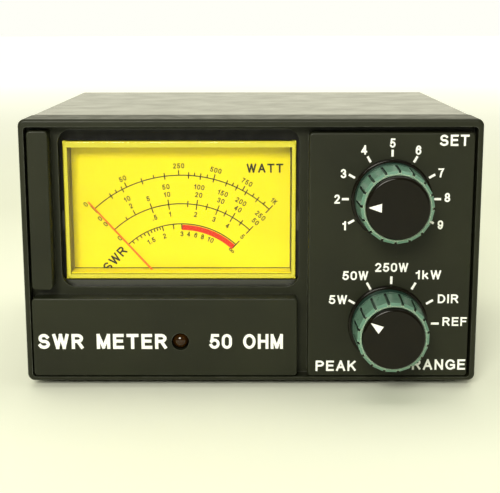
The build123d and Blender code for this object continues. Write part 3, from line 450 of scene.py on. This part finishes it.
# painted light: yellow inside the clear walls stands in for the dial's light glowing through them
PAINTED_GLOW = ink("painted_glow_yellow", (0.70, 0.64, 0.06))

SLOTS = {part["node"]: part["material_slot"] for part in frame["record"]["subparts"]}
for name, node in frame["nodes"].items():
    node.data.materials.clear()
    node.data.materials.append(FINISHES[SLOTS[name]])


# ---------------------------------------------------------------- printing
# distance and angle of each figure round the SET knob, in millimetres and degrees
SET_FIGURES = ((15.2, -120), (15.3, -90), (15.4, -62), (16.0, -29.7), (15.8, 0), (15.6, 27.6), (15.6, 61.6),
               (15.7, 88.4), (15.8, 117.8))
STEP_TURN = 30                   # degrees between neighbouring ticks of both knobs
TICK_OUT = 13.95 * MM            # outer end of those ticks
PANEL_TICK_W = 0.66 * MM
TITLE_Z = 11.9                   # height of the two titles' middle, in millimetres
# names beside the ticks and the controls: text, middle's x and z, width, in millimetres
RANGE_NAMES = (("5W", 24.95, 24.35, 5.2), ("50W", 29.8, 31.4, 7.3), ("250W", 40.1, 33.8, 9.4),
               ("1kW", 50.6, 31.65, 7.3), ("DIR", 56.5, 24.6, 5.9), ("REF", 58.6, 17.85, 7.0))
CONTROL_NAMES = (("SET", 56.8, 70.05, 8.2), ("PEAK", 24.6, 4.57, 11.7), ("RANGE", 54.4, 4.95, 15.4))


def place(x, z):
    """The frame's x and z for millimetres from the middle of the bezel's lower edge."""
    return CASE_ZERO.x + x * MM, CASE_ZERO.z + z * MM


def piece_from(name, built, material, body):
    """A finished mesh object that rides on a body."""
    mesh = bpy.data.meshes.new(name)
    bmesh.ops.recalc_face_normals(built, faces=built.faces)
    built.to_mesh(mesh)
    built.free()
    piece = bpy.data.objects.new(name, mesh)
    bpy.context.scene.collection.objects.link(piece)
    mesh.materials.append(material)
    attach(piece, body)
    return piece


def bow(x, y, wide, tall, start, end, steps=12):
    """Points along part of an ellipse; angles run anticlockwise from the right, in degrees."""
    turns = [math.radians(start + (end - start) * index / steps) for index in range(steps + 1)]
    return [(x + wide * math.cos(turn), y + tall * math.sin(turn)) for turn in turns]


# Letters as the centre lines of their strokes, one unit tall: width, then the strokes.
STEM = [(0, 0), (0, 1)]
BOWL = [(0, 1), (0.3, 1)] + bow(0.3, 0.755, 0.25, 0.245, 80, -80) + [(0.3, 0.51), (0, 0.51)]
GLYPHS = {
    " ": (0.28, []),
    ".": (0.0, [[(0, -0.02), (0, 0.02)]]),
    "0": (0.52, [bow(0.26, 0.68, 0.26, 0.32, 0, 180) + bow(0.26, 0.32, 0.26, 0.32, 180, 360)
                 + [(0.52, 0.68)]]),
    "1": (0.30, [[(0.26, 0), (0.26, 1)], [(0.02, 0.74), (0.15, 0.79), (0.25, 0.93)]]),
    "2": (0.52, [bow(0.26, 0.73, 0.25, 0.27, 165, -35) + [(0.03, 0.03)], [(0.02, 0), (0.52, 0)]]),
    "3": (0.52, [bow(0.25, 0.745, 0.23, 0.255, 160, -80), bow(0.26, 0.265, 0.26, 0.265, 85, -160)]),
    "4": (0.55, [[(0.40, 0), (0.40, 1)], [(0.38, 0.97), (0, 0.29)], [(0, 0.27), (0.55, 0.27)]]),
    "5": (0.52, [[(0.48, 1), (0.11, 1), (0.05, 0.52)], bow(0.25, 0.31, 0.27, 0.31, 138, -158)]),
    "6": (0.52, [bow(0.26, 0.31, 0.26, 0.31, 0, 360, 24),
                 [(0, 0.31)] + bow(0.27, 0.52, 0.27, 0.48, 180, 32)]),
    "7": (0.52, [[(0, 1), (0.52, 1), (0.30, 0.55), (0.19, 0)]]),
    "8": (0.52, [bow(0.26, 0.75, 0.225, 0.25, 0, 360, 24), bow(0.26, 0.25, 0.26, 0.25, 0, 360, 24)]),
    "9": (0.52, [bow(0.26, 0.69, 0.26, 0.31, 0, 360, 24),
                 [(0.52, 0.69)] + bow(0.25, 0.48, 0.27, 0.48, 0, -148)]),
    "A": (0.62, [[(0, 0), (0.3, 1)], [(0.32, 1), (0.62, 0)], [(0.14, 0.33), (0.48, 0.33)]]),
    "C": (0.62, [bow(0.34, 0.5, 0.34, 0.5, 42, 318, 20)]),
    "D": (0.58, [[(0, 0), (0, 1), (0.22, 1)] + bow(0.22, 0.5, 0.36, 0.5, 80, -80, 16) + [(0.22, 0), (0, 0)]]),
    "E": (0.50, [[(0.50, 1), (0, 1), (0, 0), (0.50, 0)], [(0, 0.53), (0.45, 0.53)]]),
    "F": (0.48, [[(0.48, 1), (0, 1), (0, 0)], [(0, 0.52), (0.42, 0.52)]]),
    "G": (0.66, [bow(0.34, 0.5, 0.34, 0.5, 38, 312, 20) + [(0.66, 0.14), (0.66, 0.46)],
                 [(0.40, 0.46), (0.66, 0.46)]]),
    "H": (0.56, [[(0, 0), (0, 1)], [(0.56, 0), (0.56, 1)], [(0, 0.52), (0.56, 0.52)]]),
    "I": (0.0, [[(0, 0), (0, 1)]]),
    "K": (0.56, [[(0, 0), (0, 1)], [(0.52, 0.98), (0.03, 0.38)], [(0.22, 0.60), (0.55, 0.02)]]),
    "M": (0.68, [STEM, [(0.02, 0.98), (0.33, 0.04)], [(0.35, 0.04), (0.66, 0.98)],
                 [(0.68, 0), (0.68, 1)]]),
    "N": (0.56, [[(0, 0), (0, 1)], [(0.03, 0.96), (0.53, 0.04)], [(0.56, 0), (0.56, 1)]]),
    "O": (0.70, [bow(0.35, 0.5, 0.35, 0.5, 0, 360, 28)]),
    "P": (0.55, [STEM, BOWL]),
    "R": (0.58, [STEM, BOWL, [(0.32, 0.48), (0.56, 0.02)]]),
    "S": (0.56, [bow(0.28, 0.745, 0.25, 0.255, 28, 255) + bow(0.28, 0.255, 0.28, 0.255, 75, -158)]),
    "T": (0.58, [[(0, 1), (0.58, 1)], [(0.29, 1), (0.29, 0)]]),
    "V": (0.58, [[(0, 1), (0.28, 0)], [(0.3, 0), (0.58, 1)]]),
    "W": (0.86, [[(0, 1), (0.21, 0)], [(0.22, 0), (0.43, 1)], [(0.43, 1), (0.64, 0)],
                 [(0.65, 0), (0.86, 1)]]),
    "X": (0.54, [[(0, 0), (0.54, 1)], [(0, 1), (0.54, 0)]]),
    "k": (0.44, [[(0, 0), (0, 1)], [(0.38, 0.66), (0.03, 0.28)], [(0.17, 0.45), (0.43, 0.02)]]),
    "∞": (0.92, [bow(0.23, 0.5, 0.23, 0.36, 0, 360, 24), bow(0.69, 0.5, 0.23, 0.36, 0, 360, 24)]),
}


class Print:
    """Thin raised ink on an upright face; x runs right and z up, as seen from in front of the face."""

    def __init__(self, plane_y, facing=-1):
        self.built = bmesh.new()
        self.plane_y = plane_y
        self.facing = facing

    def point(self, x, z, height):
        """A corner at a height over the printed surface, in thicknesses of ink."""
        return Vector((x, self.plane_y + self.facing * INK * height, z))

    def strip(self, inner, outer, level=0, closed=False):
        """A ribbon between two rows of points; where ribbons cross, their levels keep their faces apart."""
        rings = [[self.built.verts.new(self.point(*pair, height)) for pair in row]
                 for height in (-0.4 - 0.1 * level, 1.0 + 0.1 * level) for row in (inner, outer)]
        under_in, under_out, over_in, over_out = rings
        for index in range(len(inner) - 1):
            step = index + 1
            for a, b in ((under_in, under_out), (over_in, over_out),
                         (under_in, over_in), (under_out, over_out)):
                self.built.faces.new((a[index], a[step], b[step], b[index]))
        for end in () if closed else (0, -1):
            self.built.faces.new((under_in[end], over_in[end], over_out[end], under_out[end]))

    def arc(self, centre, radius, width, start, end, steps=72):
        """A circular line; angles are clockwise from straight up, in degrees."""
        angles = [start + (end - start) * index / steps for index in range(steps + 1)]
        self.strip(*[[polar(centre, angle, radius + offset) for angle in angles]
                     for offset in (-width / 2, width / 2)])

    def tick(self, centre, angle, inner, outer, width):
        """A radial line."""
        side = Vector((math.cos(math.radians(angle)), -math.sin(math.radians(angle)))) * width / 2
        ends = [Vector(polar(centre, angle, radius)) for radius in (inner, outer)]
        self.strip([tuple(end - side) for end in ends], [tuple(end + side) for end in ends], level=1)

    def stroke(self, points, width, level):
        """A line of even width through some points, with square ends unless it closes on itself."""
        closed = (points[0] - points[-1]).length < width * 0.01
        if closed:
            points = points[:-1]
        else:
            first, last = (points[0] - points[1]).normalized(), (points[-1] - points[-2]).normalized()
            points = [points[0] + first * width / 2] + points[1:-1] + [points[-1] + last * width / 2]
        count = len(points)
        rows = [], []
        for index, point in enumerate(points):
            before = point - points[index - 1] if closed or index else points[1] - point
            after = points[(index + 1) % count] - point if closed or index < count - 1 else before
            before, after = before.normalized(), after.normalized()
            across = Vector((-before.y - after.y, before.x + after.x)).normalized()
            reach = width / 2 / max(0.62, across.dot(Vector((-before.y, before.x))))
            for row, side in zip(rows, (-reach, reach)):
                row.append(tuple(point + across * side))
        if closed:
            for row in rows:
                row.append(row[0])
        self.strip(*rows, level, closed)

    def write(self, text, x, z, height, width=None, turn=0.0, weight=0.185, spacing=0.11):
        """Text centred on a point, of a capital height and, if given, a width; turn is clockwise."""
        line = height * weight
        tall = height - line
        gap = (line + spacing * height) / tall
        length = sum(GLYPHS[letter][0] for letter in text) + gap * (len(text) - 1)
        wide = (width - line) / length if width else tall
        turning = Matrix.Rotation(-math.radians(turn), 2)
        start = -length / 2
        for letter in text:
            advance, strokes = GLYPHS[letter]
            for level, points in enumerate(strokes):
                flat = [Vector((-self.facing * (start + across) * wide, (up - 0.5) * tall))
                        for across, up in points]
                self.stroke([turning @ point + Vector((x, z)) for point in flat], line, level)
            start += advance + gap

    def done(self, name, material, body="case"):
        bmesh.ops.remove_doubles(self.built, verts=self.built.verts, dist=0.002 * MM)
        return piece_from(name, self.built, material, body)


def polar(centre, angle, radius):
    """A point at a clockwise angle from straight up."""
    turn = math.radians(angle)
    return (centre[0] + radius * math.sin(turn), centre[1] + radius * math.cos(turn))


def print_panel():
    """White scales, control names and titles on the raised pads."""
    sheet = Print(FRONT_Y)
    set_centre = (SET_AXIS.x, SET_AXIS.z)
    for number, (radius, angle) in enumerate(SET_FIGURES, start=1):
        sheet.tick(set_centre, STEP_TURN * (number - 5), 12.0 * MM, TICK_OUT, PANEL_TICK_W)
        sheet.write(str(number), *polar(set_centre, angle, radius * MM), DIGIT_H)
    range_centre = (RANGE_AXIS.x + 0.8 * MM, RANGE_AXIS.z + 0.05 * MM)
    for step in range(-2, 4):
        sheet.tick(range_centre, STEP_TURN * step, 11.7 * MM, TICK_OUT, PANEL_TICK_W)
    for height, names in ((DIGIT_H, RANGE_NAMES), (TITLE_H, CONTROL_NAMES)):
        for text, x, z, width in names:
            sheet.write(text, *place(x, z), height, width * MM)
    sheet.write("SWR METER", *place(-42.9, TITLE_Z), 4.5 * MM, 37.3 * MM, weight=0.21)
    sheet.write("50 OHM", *place(-1.35, TITLE_Z), 4.45 * MM, 21.2 * MM, weight=0.19)
    return sheet.done("panel_print", WHITE_INK)


# ---------------------------------------------------------------- dial
SWEEP = 42.9                      # half of the scale's angle
POWER_R, MIDDLE_R, SWR_R = 37.85 * MM, 29.4 * MM, 23.4 * MM
LINE_W, TICK_W = 0.3 * MM, 0.32 * MM
SHORT, LONG = 0.95 * MM, 1.5 * MM
POWER_CROSSED = (-33.1, -27.2, -17.7, -7.4, 3.3, 8.6, 14.6, 20.5, 25.4, 30.1, 36.0)
POWER_LONG = (-25.0, -1.1, 14.6, 28.3)
POWER_SHORT = (-30.1, -12.2, 5.9, 11.5, 23.3, 33.4, 39.4)
MIDDLE_LONG = (-17.4, -7.4, 8.8, 21.0, 30.6)
MIDDLE_SHORT = (3.6, 14.6, 25.8, 36.4)
# rows of figures: radius, then each figure at its angle
FIGURE_ROWS = (
    (40.6, {"0": -44.0, "50": -25.0, "250": -1.0, "500": 14.5, "750": 28.3, "1K": 42.0}),
    (34.7, {"0": -44.0, "10": -27.4, "50": -7.5, "100": 8.7, "150": 20.5, "200": 30.2, "250": 41.9}),
    (32.4, {"0": -44.0, "2": -27.4, "5": -17.6, "10": -7.5, "20": 9.0, "30": 20.9, "40": 30.8, "50": 42.1}),
    (26.5, {"0": -44.0, ".5": -17.5, "1": -7.4, "2": 8.9, "3": 21.0, "4": 30.6, "5": 42.5}),
    (20.4, {"1.5": -26.4, "2": -14.6, "3": 0.0, "4": 5.6, "6": 11.6, "8": 17.3, "10": 24.4}),
)


# painted shadow lines at the bottom, the top and the right of the dial, where it meets the walls: x range, then z
# range, in millimetres
DIAL_SHADOW_LINES = ((-52.4, 11.6, 30.56, 30.85), (-52.4, 11.6, 67.2, 67.34), (11.48, 11.62, 30.85, 67.2))
# bars of the painted yellow glow and of the foam that paints shade in the gap: x range, z range, front and back,
# in millimetres
GLOW_BARS = ((-53.77, -52.6, 28.96, 69.17, 7.15, 13.35), (11.8, 12.97, 28.96, 69.17, 7.15, 13.35),
               (-52.6, 11.8, 67.34, 69.17, 7.15, 13.35), (-52.6, 11.8, 28.96, 30.13, 7.15, 11.5))
SHADE_FOAM_BARS = ((-56.0, -53.85, 29.0, 69.25, 9.0, 11.0), (13.05, 15.1, 29.0, 69.25, 9.0, 11.0),
             (-56.0, 15.1, 69.25, 73.4, 9.0, 11.0))


def swr_angle(ratio):
    """Angle of a standing-wave ratio on the lowest scale, up to 3."""
    return -SWEEP + 2 * SWEEP * (ratio - 1) / (ratio + 1)


def print_dial():
    """Three black scales with their figures, the two names, and painted shadow lines along three edges of the
    dial.
    """
    card = Print(DIAL_Y)
    centre = (PIVOT.x, PIVOT.z)
    for radius in (POWER_R, MIDDLE_R, SWR_R):
        card.arc(centre, radius, LINE_W, -SWEEP, SWEEP)
        for end in (-SWEEP, SWEEP):
            card.tick(centre, end, radius - LONG, radius + LONG, TICK_W)
    for angle in POWER_CROSSED:
        card.tick(centre, angle, POWER_R - SHORT, POWER_R + SHORT, TICK_W)
    for angles, radius, inner, outer in (
            (POWER_LONG, POWER_R, 0, LONG), (POWER_SHORT, POWER_R, 0, SHORT),
            (MIDDLE_LONG, MIDDLE_R, LONG, LONG), (MIDDLE_SHORT, MIDDLE_R, SHORT, SHORT),
            ((-27.5,), MIDDLE_R, 0, LONG), ((-33.0,), MIDDLE_R, 0, SHORT)):
        for angle in angles:
            card.tick(centre, angle, radius - inner, radius + outer, TICK_W)
    for tenths in list(range(11, 21)) + [25, 30]:
        length = LONG if tenths % 5 == 0 else SHORT
        card.tick(centre, swr_angle(tenths / 10), SWR_R - length, SWR_R, TICK_W)
    for radius, figures in FIGURE_ROWS:
        for text, angle in figures.items():
            x, z = polar(centre, angle, radius * MM)
            card.write(text, x, z, SMALL_H, turn=angle, weight=0.17, spacing=0.2)
    x, z = polar(centre, 43.6, 21.2 * MM)
    card.write("∞", x, z, 1.0 * MM, 1.9 * MM, turn=43.6, weight=0.24)
    card.write("WATT", *place(4.1, 60.5), 2.64 * MM, 10.7 * MM, weight=0.19)
    card.write("SWR", *place(-40.4, 33.4), 2.8 * MM, 8.6 * MM, turn=-47.5, weight=0.18)
    # painted shadow: thin black lines where the dial meets the walls of the window
    for x_low, x_high, z_low, z_high in DIAL_SHADOW_LINES:
        card.strip(*[[place(x, z) for x in (x_low, x_high)] for z in (z_low, z_high)])
    return card.done("dial_print_and_shadow", BLACK_INK_AND_SHADOW)


def bars(name, rows, material):
    """Straight bars round the dial, as one piece."""
    built = bmesh.new()
    for x_low, x_high, z_low, z_high, front, back in rows:
        box_mesh(built, CASE_ZERO + Vector((x_low, front, z_low)) * MM,
                 CASE_ZERO + Vector((x_high, back, z_high)) * MM)
    piece_from(name, built, material, "case")


def dial_surround():
    """Painted yellow glow in the walls of the clear moulding, standing in for the dial's light carried through
    them, and black foam strips between it and the chassis as painted shade.
    """
    bars("dial_painted_glow", GLOW_BARS, PAINTED_GLOW)
    # painted shade: black foam fills the gap round the window so that it reads dark
    bars("window_shade_foam", SHADE_FOAM_BARS, FINISHES["foot_rubber"])


def print_red_band():
    """Red band inside the upper half of the lowest scale."""
    band = Print(DIAL_Y)
    width = 1.55 * MM
    band.arc((PIVOT.x, PIVOT.z), SWR_R - LINE_W - width / 2, width, 0, SWEEP, steps=40)
    return band.done("dial_red_band", RED_INK)


def print_pointer(name, axis, body, angle):
    """White triangle on a knob's cap that points outwards at the knob's angle at rest."""
    mark = Print(CAP_Y)
    centre = (axis.x, axis.z)
    tip = CAP_R - 0.75 * MM
    foot = tip - 3.4 * MM
    side = Vector((math.cos(math.radians(angle)), -math.sin(math.radians(angle)))) * 1.2 * MM
    base, apex = Vector(polar(centre, angle, foot)), Vector(polar(centre, angle, tip))
    blunt = side * 0.06
    mark.strip([tuple(base - side), tuple(apex - blunt)], [tuple(base + side), tuple(apex + blunt)])
    return mark.done(name, WHITE_INK, body)


# ---------------------------------------------------------------- rear sockets
def ring_grid(built, rings):
    """Faces between successive rings of points, with the last ring joined to the first."""
    loops = [[built.verts.new(point) for point in ring] for ring in rings]
    count = len(loops[0])
    for lower, upper in zip(loops, loops[1:] + loops[:1]):
        for index in range(count):
            following = (index + 1) % count
            built.faces.new((lower[index], lower[following], upper[following], upper[index]))


def threaded_barrel(built, centre, y0, y1, crest, bore, pitch, segments=96):
    """A tube with an outer screw thread, chamfered at its free end."""
    depth = 0.6 * pitch
    rows = int(round((y1 - y0) / pitch * 8))
    rings = []
    for row in range(rows + 1):
        y = y0 + (y1 - y0) * row / rows
        lead_in = max(0.0, 1 - (y1 - y) / (0.7 * pitch)) * depth
        ring = []
        for index in range(segments):
            angle = 2 * math.pi * index / segments
            phase = ((y - y0) / pitch - index / segments) % 1.0
            cut = depth * max(0.0, 1 - abs(phase - 0.5) / 0.42)
            radius = crest - max(cut, lead_in)
            x, z = radius * math.sin(angle), radius * math.cos(angle)
            ring.append(Vector((centre[0] + x, y, centre[1] + z)))
        rings.append(ring)
    for y in (y1, y0):
        rings.append([Vector((centre[0] + bore * math.sin(2 * math.pi * index / segments), y,
                              centre[1] + bore * math.cos(2 * math.pi * index / segments)))
                      for index in range(segments)])
    ring_grid(built, rings)


def tube(built, x, z, y0, y1, radius, segments=48):
    """A closed cylinder along Y."""
    ends = []
    for y in (y0, y1):
        ends.append([built.verts.new((x + radius * math.cos(2 * math.pi * index / segments), y,
                                      z + radius * math.sin(2 * math.pi * index / segments)))
                     for index in range(segments)])
    for index in range(segments):
        following = (index + 1) % segments
        built.faces.new((ends[0][index], ends[0][following], ends[1][following], ends[1][index]))
    for end in ends:
        built.faces.new(end)


def box_mesh(built, low, high):
    """A closed box between two corners."""
    made = bmesh.ops.create_cube(built, size=1.0)
    size = Vector(high) - Vector(low)
    middle = (Vector(high) + Vector(low)) / 2
    placed = Matrix.Translation(middle) @ Matrix.Diagonal((*size, 1.0))
    bmesh.ops.transform(built, matrix=placed, verts=made["verts"])
    return made["verts"]


def cut(piece, cutter_built):
    """Takes a cutter's shape out of a piece's mesh."""
    mesh = bpy.data.meshes.new("cutter")
    bmesh.ops.recalc_face_normals(cutter_built, faces=cutter_built.faces)
    cutter_built.to_mesh(mesh)
    cutter_built.free()
    cutter = bpy.data.objects.new("cutter", mesh)
    bpy.context.scene.collection.objects.link(cutter)
    modifier = piece.modifiers.new("cut", "BOOLEAN")
    modifier.operation = "DIFFERENCE"
    modifier.solver = "EXACT"
    modifier.object = cutter
    graph = bpy.context.evaluated_depsgraph_get()
    result = bpy.data.meshes.new_from_object(piece.evaluated_get(graph))
    piece.modifiers.clear()
    piece.data = result
    bpy.data.objects.remove(cutter)
    bpy.data.meshes.remove(mesh)


def socket_shell(node):
    """Nickel socket: bevelled square flange with four holes, and a threaded barrel with a notched rim."""
    low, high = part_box(node)
    centre = ((low.x + high.x) / 2, (low.z + high.z) / 2)
    flange_t, crest, bore, pitch = 2.4 * MM, 7.94 * MM, 6.2 * MM, 25.4 / 24 * MM
    flange = bmesh.new()
    box_mesh(flange, (low.x, low.y, low.z), (high.x, low.y + flange_t, high.z))
    long_edges = [e for e in flange.edges if abs((e.verts[0].co - e.verts[1].co).normalized().y) > 0.9]
    bmesh.ops.bevel(flange, geom=long_edges, offset=1.5 * MM, segments=6, affect="EDGES")
    outer_edges = [e for e in flange.edges if all(v.co.y > low.y + flange_t - 0.01 * MM for v in e.verts)]
    bmesh.ops.bevel(flange, geom=outer_edges, offset=0.25 * MM, segments=3, affect="EDGES")
    shell = piece_from(node + "_threaded", flange, FINISHES["nickel"], "case")
    holes = bmesh.new()
    tube(holes, *centre, low.y - MM, low.y + flange_t + MM, bore, 96)
    pitch_half = 9.1 * MM
    for dx in (-pitch_half, pitch_half):
        for dz in (-pitch_half, pitch_half):
            tube(holes, centre[0] + dx, centre[1] + dz, low.y - MM, low.y + flange_t + MM, 1.6 * MM)
    cut(shell, holes)
    barrel = bmesh.new()
    threaded_barrel(barrel, centre, low.y + flange_t - 0.3 * MM, high.y, crest, bore, pitch)
    notched = piece_from(node + "_barrel", barrel, FINISHES["nickel"], "case")
    notches = bmesh.new()
    for angle in (45, 135):
        verts = box_mesh(notches, (-9 * MM, high.y - MM, -0.8 * MM), (9 * MM, high.y + MM, 0.8 * MM))
        turn = Matrix.Translation((centre[0], 0, centre[1])) @ Matrix.Rotation(math.radians(angle), 4, "Y")
        bmesh.ops.transform(notches, matrix=turn, verts=verts)
    cut(notched, notches)
    joined = bmesh.new()
    joined.from_mesh(shell.data)
    joined.from_mesh(notched.data)
    joined.to_mesh(shell.data)
    joined.free()
    bpy.data.objects.remove(notched)
    for polygon in shell.data.polygons:
        polygon.use_smooth = False
    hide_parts(node)
    return shell


def print_rear():
    """Small names beside the rear connectors."""
    sheet = Print(REAR_Y, facing=1)
    for node, text in (("tx_socket_shell", "TX"), ("antenna_socket_shell", "ANT")):
        low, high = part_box(node)
        sheet.write(text, (low.x + high.x) / 2, high.z + 4.2 * MM, 3.2 * MM)
    low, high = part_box("lamp_jack_nut")
    sheet.write("DC 13.8V", (low.x + high.x) / 2, high.z + 3.6 * MM, 2.2 * MM)
    return sheet.done("rear_print", WHITE_INK)


# ---------------------------------------------------------------- studio
FLOOR_R = 6.0
LENS_LENGTH, SENSOR_WIDTH = 80.87, 36               # in millimetres
CAMERA_AT = (1.38 * MM, -366.51 * MM, 105.88 * MM)
CAMERA_TURNS = (11.572, 0.294, -0.08)               # pitch down, yaw and roll, in degrees


def light(name, location, target, size, power, colour, spread=180):
    """A soft rectangular light aimed at a point; spread is the angle of its beam, in degrees."""
    lamp = bpy.data.lights.new(name, "AREA")
    lamp.shape = "RECTANGLE"
    lamp.size, lamp.size_y = size
    lamp.energy = power
    lamp.color = colour
    lamp.spread = math.radians(spread)
    holder = bpy.data.objects.new(name, lamp)
    bpy.context.scene.collection.objects.link(holder)
    holder.location = location
    aim = Vector(target) - Vector(location)
    holder.rotation_euler = aim.to_track_quat("-Z", "Y").to_euler()


def studio():
    """A pale floor that brightens into a white room, a soft light above and a smaller one in front."""
    floor = bmesh.new()
    bmesh.ops.create_circle(floor, cap_ends=True, radius=FLOOR_R, segments=96)
    mesh = bpy.data.meshes.new("floor")
    floor.to_mesh(mesh)
    floor.free()
    ground = bpy.data.objects.new("floor", mesh)
    bpy.context.scene.collection.objects.link(ground)
    paper = Finish("floor_paper", (0.88, 0.90, 0.78), 0.8, Specular_IOR_Level=0.15)
    paper.colour(paper.tone(paper.noise(6, detail=3), 0.012))
    distance = paper.node("ShaderNodeVectorMath", operation="LENGTH")
    paper.link(paper.coordinates, distance.inputs[0])
    paper.set("Emission Color", (1.0, 1.0, 0.93, 1.0))
    glow = paper.mapped(distance.outputs["Value"], 0.3, 1.5, 0, 0.75)
    paper.link(glow, paper.bsdf.inputs["Emission Strength"])
    mesh.materials.append(paper.material)

    light("top", (0.0, 0.06, 0.8), (0, 0.06, 0), (0.9, 0.7), 2.8, (1.0, 1.0, 0.9))
    light("key", (-0.25, -1.15, 0.62), (-0.01, -0.08, 0.04), (0.5, 0.4), 1.38, (1.0, 0.98, 0.86), spread=50)

    world = bpy.data.worlds.new("room")
    bpy.context.scene.world = world
    world.use_nodes = True
    tree = world.node_tree
    background = tree.nodes["Background"]
    coordinates = tree.nodes.new("ShaderNodeTexCoord")
    split = tree.nodes.new("ShaderNodeSeparateXYZ")
    ramp = tree.nodes.new("ShaderNodeValToRGB")
    remap = tree.nodes.new("ShaderNodeMapRange")
    remap.inputs["From Min"].default_value = -1.0
    tree.links.new(coordinates.outputs["Generated"], split.inputs[0])
    tree.links.new(split.outputs["Y"], remap.inputs["Value"])
    tree.links.new(remap.outputs["Result"], ramp.inputs["Fac"])
    ramp.color_ramp.elements[0].position = 0.4
    ramp.color_ramp.elements[0].color = (0.12, 0.12, 0.09, 1)
    ramp.color_ramp.elements[1].position = 0.85
    ramp.color_ramp.elements[1].color = (1.15, 1.13, 0.88, 1)
    tree.links.new(ramp.outputs["Color"], background.inputs["Color"])
    seen = tree.nodes.new("ShaderNodeBackground")
    seen.inputs["Color"].default_value = (1.0, 1.0, 0.93, 1)
    path = tree.nodes.new("ShaderNodeLightPath")
    mix = tree.nodes.new("ShaderNodeMixShader")
    tree.links.new(path.outputs["Is Camera Ray"], mix.inputs[0])
    tree.links.new(background.outputs[0], mix.inputs[1])
    tree.links.new(seen.outputs[0], mix.inputs[2])
    tree.links.new(mix.outputs[0], tree.nodes["World Output"].inputs["Surface"])


def camera():
    """A long lens a little above the front panel, looking down at it."""
    data = bpy.data.cameras.new("camera")
    data.lens = LENS_LENGTH
    data.sensor_width = SENSOR_WIDTH
    data.clip_start = 0.01
    holder = bpy.data.objects.new("camera", data)
    bpy.context.scene.collection.objects.link(holder)
    pitch, yaw, roll = [math.radians(angle) for angle in CAMERA_TURNS]
    aim = Matrix.Rotation(yaw, 4, "Z") @ Matrix.Rotation(math.pi / 2 - pitch, 4, "X")
    holder.matrix_world = Matrix.Translation(CAMERA_AT) @ aim @ Matrix.Rotation(roll, 4, "Z")
    bpy.context.scene.camera = holder


print_panel()
print_dial()
dial_surround()
print_red_band()
print_pointer("set_knob_mark", SET_AXIS, "set_knob", -88.0)
print_pointer("range_knob_mark", RANGE_AXIS, "range_knob", -54.0)
socket_shell("tx_socket_shell")
socket_shell("antenna_socket_shell")
print_rear()
studio()
camera()
bpy.context.scene.view_settings.view_transform = "Standard"
